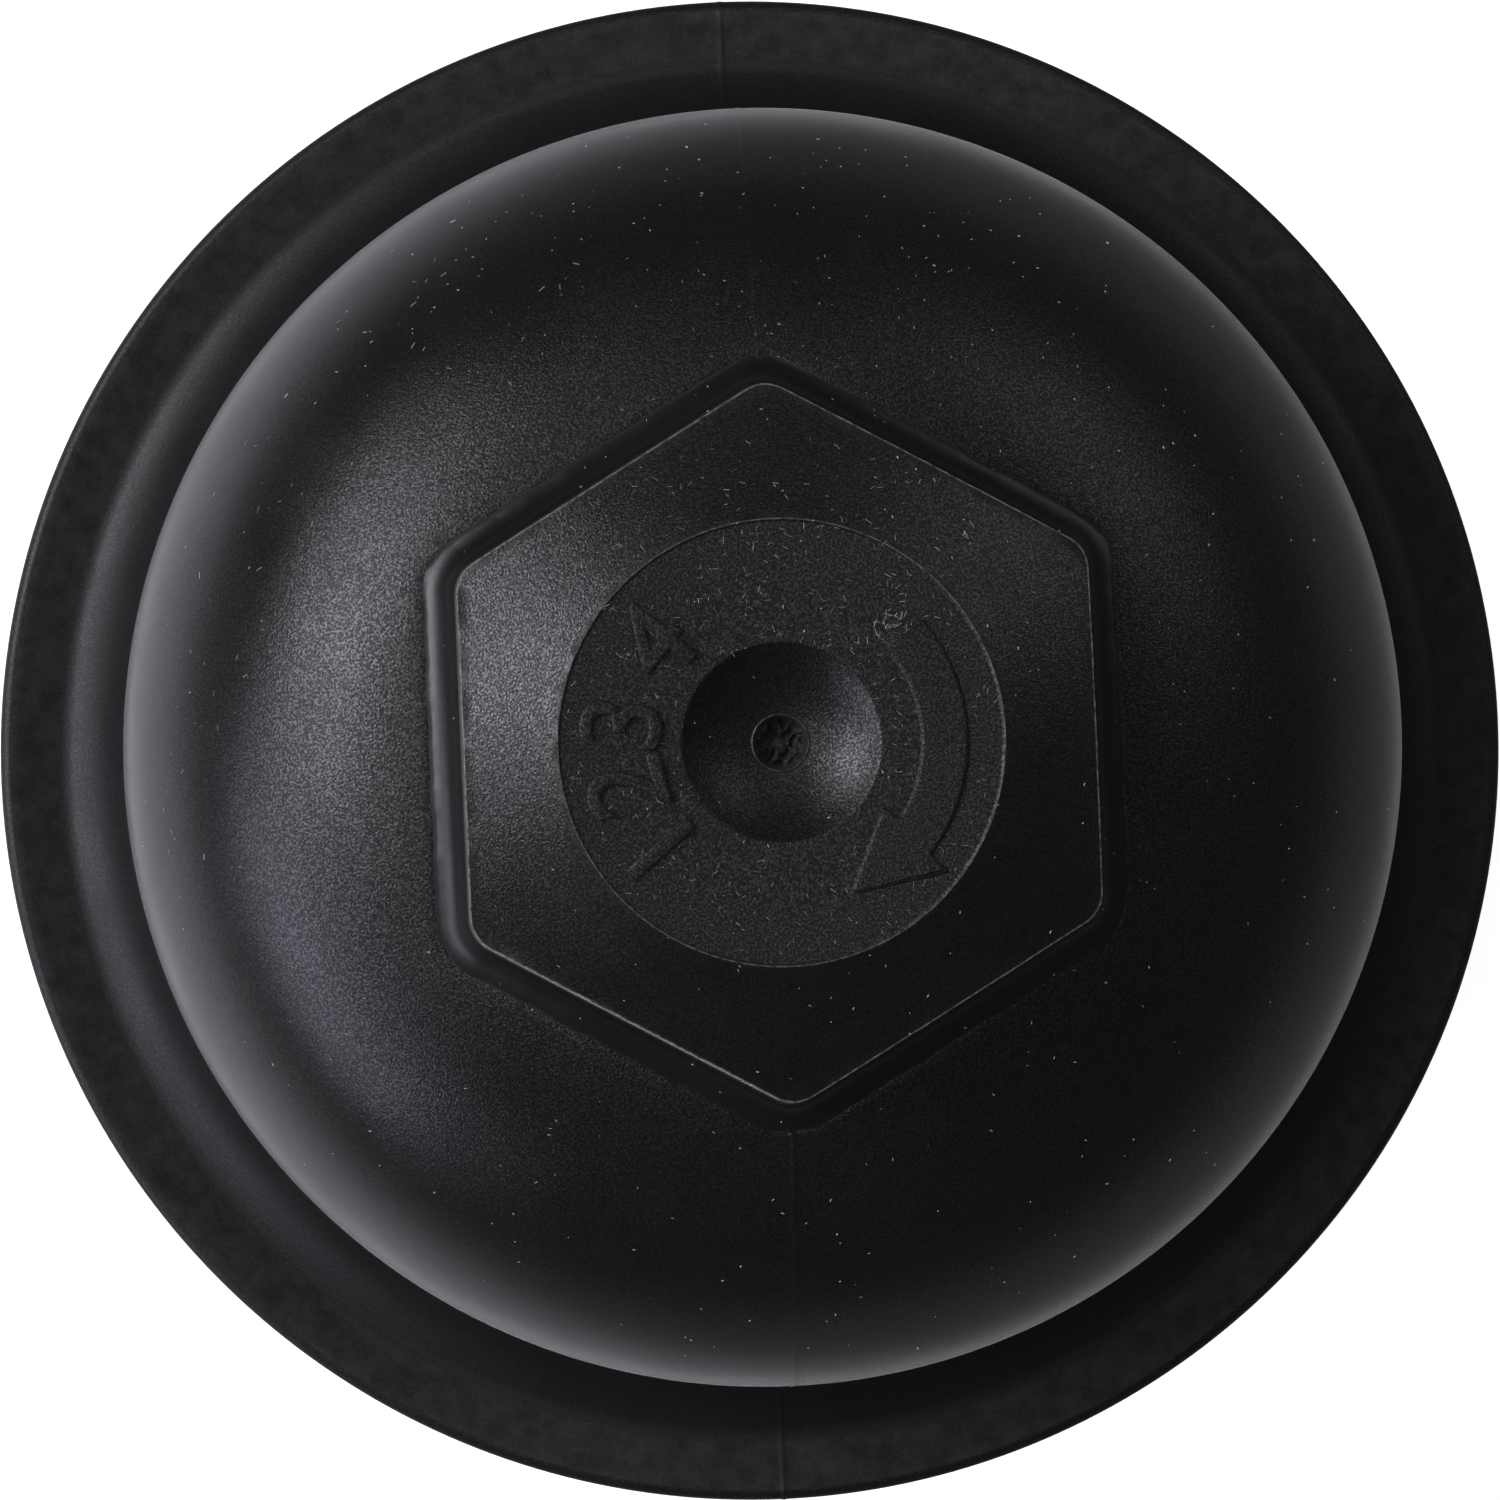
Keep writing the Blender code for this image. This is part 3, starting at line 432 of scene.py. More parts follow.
def nylon_material(colours):
    """Glass-filled nylon 66 from a spark-eroded mould: black, satin, with a fine sparkling grain.

    The erosion leaves pits about a tenth of a millimetre wide that tilt the skin, break up
    its gloss and give it a thin sheen where it is seen along its length. The polished parts
    of the mould leave a smoother skin with less grain. The gloss of the dullest skin, on the
    flange, is blotchy, and sharp edges are frayed and pale.
    """
    material, tree, shader, place = new_material(CAP_NYLON)
    rough = add_node(tree, "ShaderNodeAttribute", attribute_name="rough").outputs["Fac"]
    grain = add_node(tree, "ShaderNodeAttribute", attribute_name="grain").outputs["Fac"]
    worn = add_node(tree, "ShaderNodeAttribute", attribute_name="worn").outputs["Fac"]

    facets = add_node(tree, "ShaderNodeTexNoise", lumps_of(place, 0.12, 0.0))
    sparkle = add_node(tree, "ShaderNodeMapRange", span(facets, 0.4, 0.75, -0.24, 0.6))
    sparkled = {0: sparkle, 1: grain, 2: 0.55}
    grained = add_node(tree, "ShaderNodeMath", sparkled, operation="MULTIPLY_ADD")
    dullest = add_node(tree, "ShaderNodeMapRange", span(rough, 0.62, 0.66, 0.0, 1.0))
    patches = add_node(tree, "ShaderNodeTexNoise", lumps_of(place, 1.1, 2.0))
    blotch = add_node(tree, "ShaderNodeMapRange", span(patches, 0.3, 0.7, 0.0, 0.42))
    blotched = {0: blotch, 1: dullest, 2: grained}
    gloss = add_node(tree, "ShaderNodeMath", blotched, operation="MULTIPLY_ADD")

    cloud = add_node(tree, "ShaderNodeTexNoise", lumps_of(place, 5.0, 3.0))
    drift = add_node(tree, "ShaderNodeMapRange", span(cloud, 0.3, 0.7, -0.04, 0.04))
    dull = add_node(tree, "ShaderNodeMath", {0: rough, 1: drift}, operation="ADD")

    tatters = add_node(tree, "ShaderNodeTexNoise", lumps_of(place, 0.3))
    pale = add_node(tree, "ShaderNodeMapRange", span(tatters, 0.35, 0.65, 0.1, 0.5))
    frayed = add_node(tree, "ShaderNodeMath", {0: worn, 1: pale}, operation="MULTIPLY")
    skins = {0: frayed, 6: (*colours.nylon, 1.0), 7: (*colours.fleck, 1.0)}
    skin = add_node(tree, "ShaderNodeMix", skins, data_type="RGBA").outputs[2]

    pits = add_node(tree, "ShaderNodeTexNoise", lumps_of(place, 0.11, 1.0))
    bump = add_node(tree, "ShaderNodeBump", {"Strength": grain, "Distance": 0.025 * MM, "Height": pits})
    finishes = {
        "Base Color": skin,
        "Roughness": dull,
        "IOR": 1.53,
        "Specular IOR Level": gloss,
        "Sheen Weight": 0.36,
        "Sheen Roughness": 0.2,
        "Normal": bump,
    }
    set_inputs(tree, shader, finishes)
    return material


def fibre_material(colours):
    """Glass fibre and dust at the nylon's skin: pale, dull flecks, some deeper in than others."""
    material, tree, shader, place = new_material(SKIN_FIBRE)
    patches = add_node(tree, "ShaderNodeTexNoise", lumps_of(place, 2.0, 1.0))
    tone = add_node(tree, "ShaderNodeMapRange", span(patches, 0.35, 0.65, 0.35, 1.4))
    shade = add_node(tree, "ShaderNodeVectorMath", {0: colours.fleck, "Scale": tone}, operation="SCALE")
    set_inputs(tree, shader, {"Base Color": shade, "Roughness": 0.6})
    return material


def rubber_material(colours):
    """Nitrile rubber, compression moulded: near black, dull, with a faint bloom."""
    material, tree, shader, place = new_material(SEAL_RUBBER)
    bloom = add_node(tree, "ShaderNodeTexNoise", lumps_of(place, 3.0, 4.0))
    dull = add_node(tree, "ShaderNodeMapRange", span(bloom, 0.3, 0.7, 0.5, 0.68))
    skin = add_node(tree, "ShaderNodeTexNoise", lumps_of(place, 0.4))
    bump = add_node(tree, "ShaderNodeBump", {"Strength": 0.25, "Distance": 0.03 * MM, "Height": skin})
    shade = (*colours.rubber, 1.0)
    set_inputs(tree, shader, {"Base Color": shade, "Roughness": dull, "IOR": 1.52, "Normal": bump})
    return material


def moulded_material(name, shade, rough):
    """Unfilled moulded plastic: even colour, a soft sheen that drifts, and a fine skin."""
    material, tree, shader, place = new_material(name)
    cloud = add_node(tree, "ShaderNodeTexNoise", lumps_of(place, 6.0, 3.0))
    dull = add_node(tree, "ShaderNodeMapRange", span(cloud, 0.3, 0.7, rough - 0.06, rough + 0.06))
    skin = add_node(tree, "ShaderNodeTexNoise", lumps_of(place, 0.3))
    bump = add_node(tree, "ShaderNodeBump", {"Strength": 0.2, "Distance": 0.03 * MM, "Height": skin})
    shade = (*shade, 1.0)
    set_inputs(tree, shader, {"Base Color": shade, "Roughness": dull, "IOR": 1.5, "Normal": bump})
    return material


def valve_nylon_material(colours):
    """Grey unfilled nylon of the valve, from a polished mould."""
    return moulded_material(VALVE_NYLON, colours.valve_nylon, 0.42)


def plate_material(colours):
    """Dark plastic of the end plates and the core, from a plain mould."""
    return moulded_material(PLATE_PLASTIC, colours.plate, 0.45)


def paper_material(colours):
    """Resin-treated cellulose filter paper: straw coloured, matte, with felted fibres."""
    material, tree, shader, place = new_material(FILTER_PAPER)
    felt = {**lumps_of(place, 0.5, 5.0), "Roughness": 0.7}
    fibre = add_node(tree, "ShaderNodeTexNoise", felt)
    resin = add_node(tree, "ShaderNodeTexNoise", lumps_of(place, 9.0, 3.0))
    mottle = add_node(tree, "ShaderNodeMath", {0: fibre, 1: resin}, operation="MULTIPLY")
    tone = add_node(tree, "ShaderNodeMapRange", span(mottle, 0.1, 0.45, 0.82, 1.08))
    shade = add_node(tree, "ShaderNodeVectorMath", {0: colours.paper, "Scale": tone}, operation="SCALE")
    bump = add_node(tree, "ShaderNodeBump", {"Strength": 0.5, "Distance": 0.06 * MM, "Height": fibre})
    set_inputs(tree, shader, {"Base Color": shade, "Roughness": 0.88, "Normal": bump})
    return material


def steel_material(colours):
    """Drawn spring steel wire: bright, its gloss varied by a thin oil film."""
    material, tree, shader, place = new_material(SPRING_STEEL)
    film = add_node(tree, "ShaderNodeTexNoise", lumps_of(place, 0.3, 3.0))
    dull = add_node(tree, "ShaderNodeMapRange", span(film, 0.3, 0.7, 0.24, 0.4))
    shade = (*colours.steel, 1.0)
    set_inputs(tree, shader, {"Base Color": shade, "Roughness": dull, "Metallic": 1.0})
    return material


MATERIALS = {
    CAP_NYLON: nylon_material,
    SKIN_FIBRE: fibre_material,
    SEAL_RUBBER: rubber_material,
    VALVE_NYLON: valve_nylon_material,
    PLATE_PLASTIC: plate_material,
    FILTER_PAPER: paper_material,
    SPRING_STEEL: steel_material,
}


def dress(obj, name):
    """Give a piece one material by its name, made the first time it is asked for."""
    colours = bpy.context.scene.oilcap_colours
    material = bpy.data.materials.get(name) or MATERIALS[name](colours)
    obj.data.materials.clear()
    obj.data.materials.append(material)


def finish(obj, material, body, slot, *nodes):
    """Give a piece its material and the body it moves with, and hide the CAD nodes it stands for. The
    slot is not used.
    """
    dress(obj, material)
    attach(obj, body)
    if nodes:
        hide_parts(*nodes)


# Cap
#
# Each band of its skin is a set of rows (radius, height, roughness, grain, wear). They run from
# the middle of the recess out to the flange, under it, and back up the inside.


def dome_height(cap, radius):
    """Height of the dome's skin: a flat land, then an arc of the shoulder's radius."""
    top = high("cap_shell").z - cap.hex_height
    along = np.maximum(radius - (cap.dome_radius - cap.dome_corner), 0.0)
    return top - cap.dome_corner + np.sqrt(np.maximum(cap.dome_corner**2 - along**2, 0.0))


def recess_floor(cap, radius):
    """Height of the recess's floor, a shallow dish, with the dimple blended in at its middle.

    The dimple is a ball's cap. The lower of the two is taken with a soft edge:
    (a + b - sqrt((a - b)^2 + w^2)) / 2.
    """
    edge = high("cap_shell").z - cap.recess_depth
    floor = edge - cap.recess_dish * (1 - (radius / cap.recess_radius) ** 2)
    ball = (cap.dimple_radius**2 + cap.dimple_depth**2) / (2 * cap.dimple_depth)
    sunk = np.sqrt(np.maximum(ball**2 - radius**2, 0.0))
    bowl = edge - cap.recess_dish - cap.dimple_depth + ball - sunk
    soft = 0.04 * MM
    return (floor + bowl - np.sqrt((floor - bowl) ** 2 + soft**2)) / 2


def ragged(theta, seed):
    """Unevenness round an edge, from 0 to 1: three sines of the angle, held to that range."""
    waves = np.sin(23 * theta + seed)
    waves = waves + np.sin(41 * theta + 2 * seed) + np.sin(97 * theta + 3 * seed)
    return np.clip(0.5 + 0.25 * waves, 0, 1)


def lumps(x, y):
    """Lumpy field of about half a millimetre's pitch, from -1 to 1."""
    x, y = x / MM, y / MM
    x, y = x + 0.25 * np.sin(5 * y + 1), y + 0.25 * np.sin(6 * x)
    waves = np.sin(7 * x + 3 * y) + np.sin(8 * y - 4 * x + 2)
    return (waves + 0.7 * np.sin(12 * x - 8 * y + 1)) / 2.7


def recess_bands(cap, theta):
    """Broken gate, dimple, recess floor and the recess's sloping wall, with a burr at its edge.

    Rows crowd towards each edge, so that the skin between the edges is shaded flat.
    """
    gate = cap.gate_radius
    pit_depth = 0.6 * MM
    torn_height = 0.3 * MM
    pit = gate * np.sqrt(steps(20, 0.0, 1.0))
    torn = lumps(pit * np.cos(theta), pit * np.sin(theta)) * (1 - (pit / gate) ** 6)
    pit_height = recess_floor(cap, pit) - pit_depth * (1 - (pit / gate) ** 8) + torn_height * torn

    lip_share = 0.12
    lip_height = 0.09 * MM
    lip = steps(5)[1:]
    lip_radius = gate * (1 + lip_share * lip)
    lip_rise = recess_floor(cap, lip_radius) + lip_height * np.sin(math.pi * lip)

    rim = cap.dimple_radius
    wall = cap.recess_radius
    bowl_rows = steps(18, 1.22 * gate, rim - 0.2 * MM)
    rim_rows = steps(9, rim - 0.1 * MM, rim + 0.1 * MM)
    bowl = np.concatenate([bowl_rows, rim_rows])
    floor_rows = steps(8, rim + 0.2 * MM, wall - 0.3 * MM)
    edge_rows = steps(2, wall - 0.14 * MM, wall - 0.11 * MM)
    flat = np.concatenate([floor_rows, edge_rows])

    crown = high("cap_shell").z
    wall_run = 0.1 * MM
    share = steps(5)[1:]
    rise = recess_floor(cap, wall) + (crown - recess_floor(cap, wall)) * share
    out = wall - wall_run * (1 - share)

    burr_height = 0.04 * MM
    burr = np.array([[0.6], [1.0], [0.0]]) * burr_height * ragged(theta, 1.0)
    burr_radius = wall + np.array([[0.2], [0.5], [1.0]]) * BURR_RUN
    burr_wear = np.array([[0.5], [0.5], [0.0]])
    return [
        (pit, pit_height, 0.75, 0.3, 0.0),
        (lip_radius, lip_rise, 0.4, 0.5, 0.3 * np.sin(math.pi * lip)),
        (bowl, recess_floor(cap, bowl), 0.4, 1.0, 0.0),
        (flat, recess_floor(cap, flat), 0.62, 1.0, 0.0),
        (out, rise, 0.5, 1.0, 0.0),
        (burr_radius, crown + burr, 0.4, 0.5, burr_wear),
    ]


def hex_bands(cap, theta):
    """Conical top of the hex, its burred edge, drafted flats and the hollow curve at its foot.

    The outer border of that curve is a little ragged. Also gives the border's radius.
    """
    crown = high("cap_shell").z
    half = cap.hex_flats / 2
    corner = cap.hex_corner
    lean = math.tan(cap.hex_draft)
    fall = math.tan(cap.hex_crown)
    start = cap.recess_radius + BURR_RUN

    def top_height(radius):
        return crown - (radius - start) * fall

    edge_half = half + (crown - top_height(hexagon(theta, half, corner))) * lean
    edge = hexagon(theta, edge_half, corner)
    inset = hexagon(theta, edge_half - cap.hex_edge, corner)
    below = top_height(edge) - cap.hex_edge
    share = steps(10, 0.06, 1.0)
    top = start + (inset - start) * share

    burr_height = 0.035 * MM
    turn = steps(6)
    edge_radius = bend(inset, edge, edge + cap.hex_edge * lean, turn)
    edge_height = bend(top_height(inset), top_height(edge), below, turn)
    burr = burr_height * ragged(theta, 2.0) * np.sin(math.pi * turn)

    sweep = cap.hex_fillet_sweep
    spread = cap.hex_fillet * (1 - math.cos(sweep))
    base_half = half + (crown - dome_height(cap, half)) * lean
    foot = dome_height(cap, hexagon(theta, base_half + spread, corner + spread)) - cap.hex_gutter
    fillet_top = foot + cap.hex_fillet * math.sin(sweep)
    down = steps(6, 0.1, 1.0)
    wall_height = below + (fillet_top - below) * down
    wall = edge + (base_half - edge_half) * down

    border_sway = 0.1 * MM
    angle = steps(12, 0.0, sweep)[1:]
    offset = cap.hex_fillet * (1 - np.cos(angle))
    border = border_sway * (ragged(theta, 3.0) - 0.5) * (angle / sweep) ** 4
    fillet = hexagon(theta, base_half + offset, corner + offset) + border
    fillet_height = fillet_top - cap.hex_fillet * np.sin(angle)
    return [
        (top, top_height(top), 0.33, 0.9, 0.0),
        (edge_radius + burr, edge_height + burr, 0.4, 0.3, np.sin(math.pi * turn)),
        (wall, wall_height, 0.3, 0.1, 0.0),
        (fillet, fillet_height, 0.34, 0.1, 0.0),
    ], fillet[-1]


def flare_start(cap, shoulder):
    """Height at which the dome's leaning wall, which starts at its shoulder, turns into the flare.

    Flare and valley together go some way out and some way down. From the valley's end the
    flange's face rises to its edge, whose height is given, so that
    start = (edge + down - reach * rise) / (1 + lean * rise).
    """
    sweep = cap.flare_sweep
    level = math.pi / 2 + cap.flange_rise
    arc = cap.valley_arc
    out = cap.flare_arc * (1 - math.cos(sweep)) + arc * (math.cos(sweep) - math.cos(level))
    down = cap.flare_arc * math.sin(sweep) + arc * (math.sin(level) - math.sin(sweep))
    lean = math.tan(cap.dome_draft)
    rise = math.tan(cap.flange_rise)
    foot = cap.dome_radius + shoulder * lean + out
    reach = cap.flange_radius - cap.flange_edge - foot
    return (FLANGE_UNDER + cap.flange_thickness + down - reach * rise) / (1 + lean * rise)


def dome_bands(cap, theta, hex_foot):
    """Grained dome from the hex's foot to its rim, its wall, the flare and the valley.

    Rows go over from the hex's outline to circles by the middle radius, and the grain fades
    from the polish radius on. Also gives the radius at which the valley ends.
    """
    middle = 24.0 * MM
    polish = 25.0 * MM
    polish_run = 7.0 * MM
    gutter_run = 0.25 * MM
    share = np.concatenate([steps(6, 0.01, 0.1), steps(14, 0.16, 1.0)])
    near = hex_foot + (middle - hex_foot) * share
    gutter = cap.hex_gutter * np.exp(-(near - hex_foot) / gutter_run)

    centre = cap.dome_radius - cap.dome_corner
    shoulder = high("cap_shell").z - cap.hex_height - cap.dome_corner
    start = math.acos((middle - centre) / cap.dome_corner)
    angle = steps(28, start, 0.0)[1:]
    far = centre + cap.dome_corner * np.cos(angle)
    far_height = shoulder + cap.dome_corner * np.sin(angle)
    smooth = np.clip((far - polish) / polish_run, 0, 1)

    flare_top = flare_start(cap, shoulder)
    wall_height = steps(8, shoulder, flare_top)[1:]
    wall = cap.dome_radius + (shoulder - wall_height) * math.tan(cap.dome_draft)
    sweep = cap.flare_sweep
    turn = steps(12, 0.0, sweep)[1:]
    flare = wall[-1, 0] + cap.flare_arc * (1 - np.cos(turn))
    flare_height = flare_top - cap.flare_arc * np.sin(turn)
    hollow = steps(8, sweep, math.pi / 2 + cap.flange_rise)[1:]
    valley = flare[-1, 0] + cap.valley_arc * (math.cos(sweep) - np.cos(hollow))
    valley_height = flare_height[-1, 0] - cap.valley_arc * (np.sin(hollow) - math.sin(sweep))
    return [
        (near, dome_height(cap, near) - gutter, 0.37, 1.0, 0.0),
        (far, far_height, 0.37 - 0.12 * smooth, 1.0 - 0.65 * smooth, 0.0),
        (wall, wall_height, 0.42, 0.3, 0.0),
        (flare, flare_height, 0.5, 0.3, 0.0),
        (valley, valley_height, steps(8, 0.5, 0.66)[1:], 0.3, 0.0),
    ], valley[-1, 0]


def flange_bands(cap, valley_end):
    """Flange from the valley's end up its rising face and round its edge to its underside."""
    top = FLANGE_UNDER + cap.flange_thickness
    edge = cap.flange_edge
    face = steps(6, valley_end, cap.flange_radius - edge)[1:]
    face_height = top - (cap.flange_radius - edge - face) * math.tan(cap.flange_rise)
    angle = steps(9, math.pi / 2, 0.0)[1:]
    round_radius = cap.flange_radius - edge + edge * np.cos(angle)
    round_height = top - edge + edge * np.sin(angle)
    chamfer = 0.6 * MM
    under = steps(5)
    under_radius = bend(cap.flange_radius, cap.flange_radius, cap.flange_radius - chamfer, under)
    under_height = bend(FLANGE_UNDER + chamfer, FLANGE_UNDER, FLANGE_UNDER, under)
    return [
        (face, face_height, 0.66, 0.3, 0.0),
        (round_radius, round_height, 0.5, 0.4, 0.0),
        (under_radius, under_height, 0.45, 0.3, 0.0),
    ]


def inner_bands(cap):
    """Groove, skirt, and back up the inside over the roof and boss to the pocket in the hex."""
    groove_top = FLANGE_UNDER - cap.land_height
    groove_low = groove_top - cap.groove_width
    land_low = groove_low - cap.land_height
    end = low("cap_shell").z
    land = cap.land_radius
    top = high("cap_shell").z - cap.hex_height
    roof = top - cap.wall
    centre = cap.dome_radius - cap.dome_corner
    arc = cap.dome_corner - cap.wall
    sweep = math.acos(max(cap.boss_radius - centre, 0.0) / arc)
    angle = np.linspace(0, sweep, 16)
    dome = np.stack([centre + arc * np.cos(angle), roof - arc + arc * np.sin(angle)], 1)
    boss_end = roof - cap.boss_length
    bore = cap.boss_bore
    snap_low = boss_end + 3.0 * MM
    snap_high = snap_low + 1.6 * MM
    snap_depth = 0.8 * MM
    socket = boss_end + cap.socket_depth
    # The first and last corners only lead the profile in and out, and their points are cut off.
    lead = 1.0 * MM
    bent = 4
    skirt = rounded(
        [
            (cap.flange_radius - lead, FLANGE_UNDER),
            (land, FLANGE_UNDER),
            (land, groove_top),
            (cap.groove_floor, groove_top),
            (cap.groove_floor, groove_low),
            (land, groove_low),
            (land, land_low),
            (cap.skirt_radius, land_low - (land - cap.skirt_radius)),
            (cap.skirt_radius, end + cap.skirt_lead),
            (cap.skirt_radius - cap.skirt_lead, end),
            (cap.skirt_bore, end),
            (cap.skirt_bore, FLANGE_UNDER),
            (dome[0, 0], FLANGE_UNDER + cap.flange_thickness),
        ],
        0.2 * MM,
        bent,
    )[bent:-bent]
    boss = rounded(
        [
            (cap.boss_radius + lead, dome[-1, 1]),
            (cap.boss_radius, dome[-1, 1]),
            (cap.boss_radius, boss_end),
            (bore, boss_end),
            (bore, snap_low),
            (bore + snap_depth, snap_low),
            (bore + snap_depth, snap_high),
            (bore, snap_high + snap_depth),
            (bore, socket),
            (cap.pocket_radius, socket),
            (cap.pocket_radius, top + cap.pocket_rise),
            (0.0, top + cap.pocket_rise),
        ],
        0.25 * MM,
        bent,
    )[2 * bent : -bent]
    axis = np.array([[0.0, top + cap.pocket_rise]])
    profile = np.concatenate([skirt, dome, boss, axis])
    return [(profile[:, :1], profile[:, 1:], 0.45, 0.3, 0.0)]


def parting_ridge(theta, radius):
    """Height of the fine ridge that the mould's two halves leave, a bell curve 0.2 mm wide."""
    ridge_height = 0.035 * MM
    bell = 0.13 * MM
    off = np.minimum(*(np.abs(theta - math.radians(angle)) for angle in PARTING_ANGLES))
    return ridge_height * np.exp(-((off * radius / bell) ** 2))


def stack_bands(bands, theta):
    """Bands joined into one set of rows: radius, height, roughness, grain and wear."""
    rows = [np.broadcast_arrays(*band, theta)[:-1] for band in bands]
    return [np.concatenate(parts) for parts in zip(*rows)]


class OILCAP_OT_cap(bpy.types.Operator):
    """Make the moulded cap as one closed skin"""

    bl_idname = "oilcap.cap"
    bl_label = "Cap"

    def execute(self, context):
        cap = context.scene.oilcap_cap
        theta = columns()[None, :]
        hexes, hex_foot = hex_bands(cap, theta)
        domes, valley_end = dome_bands(cap, theta, hex_foot)
        crown = stack_bands(recess_bands(cap, theta) + hexes, theta)
        skin = stack_bands(domes + flange_bands(cap, valley_end), theta)
        skin_radius, skin_height = skin[:2]
        slope_radius = np.gradient(skin_radius, axis=0)
        slope_height = np.gradient(skin_height, axis=0)
        length = np.maximum(np.hypot(slope_radius, slope_height), 1e-9)
        ridge = parting_ridge(theta, skin_radius)
        skin[0] = skin_radius - ridge * slope_height / length
        skin[1] = skin_height + ridge * slope_radius / length
        inner = stack_bands(inner_bands(cap), theta)
        stacked = [np.concatenate(parts) for parts in zip(crown, skin, inner)]
        radius, height, rough, grain, worn = stacked
        points = ring_points(radius, height, theta)
        shell = surface("cap_shell_moulded", points, rough=rough, grain=grain, worn=worn)
        finish(shell, CAP_NYLON, "cap", "cap_nylon", "cap_shell")
        return {"FINISHED"}


class OILCAP_OT_thread(bpy.types.Operator):
    """Carry the thread's section round and up the skirt, thinning out at both ends"""

    bl_idname = "oilcap.thread"
    bl_label = "Thread"

    def execute(self, context):
        cap = context.scene.oilcap_cap
        columns_in_turn = 160
        fade_turns = 0.07
        clear = 2.0 * MM
        root = -0.4 * MM
        sunk_end = 0.15 * MM
        foot = cap.thread_foot / 2
        crest = cap.thread_crest / 2
        start = low("cap_shell").z + cap.skirt_lead + foot
        land_low = FLANGE_UNDER - 2 * cap.land_height - cap.groove_width
        turns = (land_low - clear - foot - start) / cap.thread_pitch
        along = steps(int(columns_in_turn * turns), 0.0, turns)
        theta = 2 * math.pi * along
        full = np.clip(np.minimum(along, turns - along) / fade_turns, 0, 1)
        full = full * full * (3 - 2 * full)
        section = rounded(
            [
                (root, foot),
                (0.0, foot),
                (cap.thread_depth, crest),
                (cap.thread_depth, -crest),
                (0.0, -foot),
                (root, -foot),
            ],
            0.25 * MM,
            4,
        )
        radius = cap.skirt_radius + section[None, :, 0] * full - sunk_end * (1 - full)
        height = start + cap.thread_pitch * along + section[None, :, 1]
        thread = surface("skirt_thread", ring_points(radius, height, theta)[:, ::-1], cap_ends=True)
        store(thread.data, rough=0.42, grain=0.3)
        finish(thread, CAP_NYLON, "cap", "cap_nylon")
        return {"FINISHED"}


def raised_outline(name, outline, floor, height):
    """A closed outline raised from a floor, with steep sides and a soft upper edge.

    The floor is a function of the radius, and the outline's top stays parallel to it. Rings
    of the outline go in by some millimetres as they rise by shares of the height.
    """
    tangent = np.roll(outline, -1, axis=0) - np.roll(outline, 1, axis=0)
    normal = np.stack([tangent[:, 1], -tangent[:, 0]], axis=1)
    normal /= np.maximum(np.linalg.norm(normal, axis=1, keepdims=True), 1e-12)
    spread = np.array([0.2, 0.09, -0.07, -0.1, -0.17])[:, None, None] * MM
    rise = np.array([-0.8, 0.0, 0.94, 0.99, 1.0])[:, None] * height
    flat = outline[None] + spread * normal[None]
    level = floor(np.hypot(flat[..., 0], flat[..., 1])) + rise
    return surface(name, np.concatenate([flat, level[..., None]], axis=-1)[::-1], cap_ends=True)


def polar_line(radii, angles, count):
    """Points of a straight line between two places, given by radii in mm and angles in degrees."""
    ends = np.array(radii) * MM * np.exp(1j * np.radians(angles))
    line = ends[0] + (ends[1] - ends[0]) * np.linspace(0, 1, count, endpoint=False)
    return np.stack([line.real, line.imag], axis=1)


def polar_arc(radius, angles, count):
    """Points of an arc about the axis, its radius in millimetres and its angles in degrees."""
    turn = np.radians(np.linspace(*angles, count))
    return radius * MM * np.stack([np.cos(turn), np.sin(turn)], axis=1)


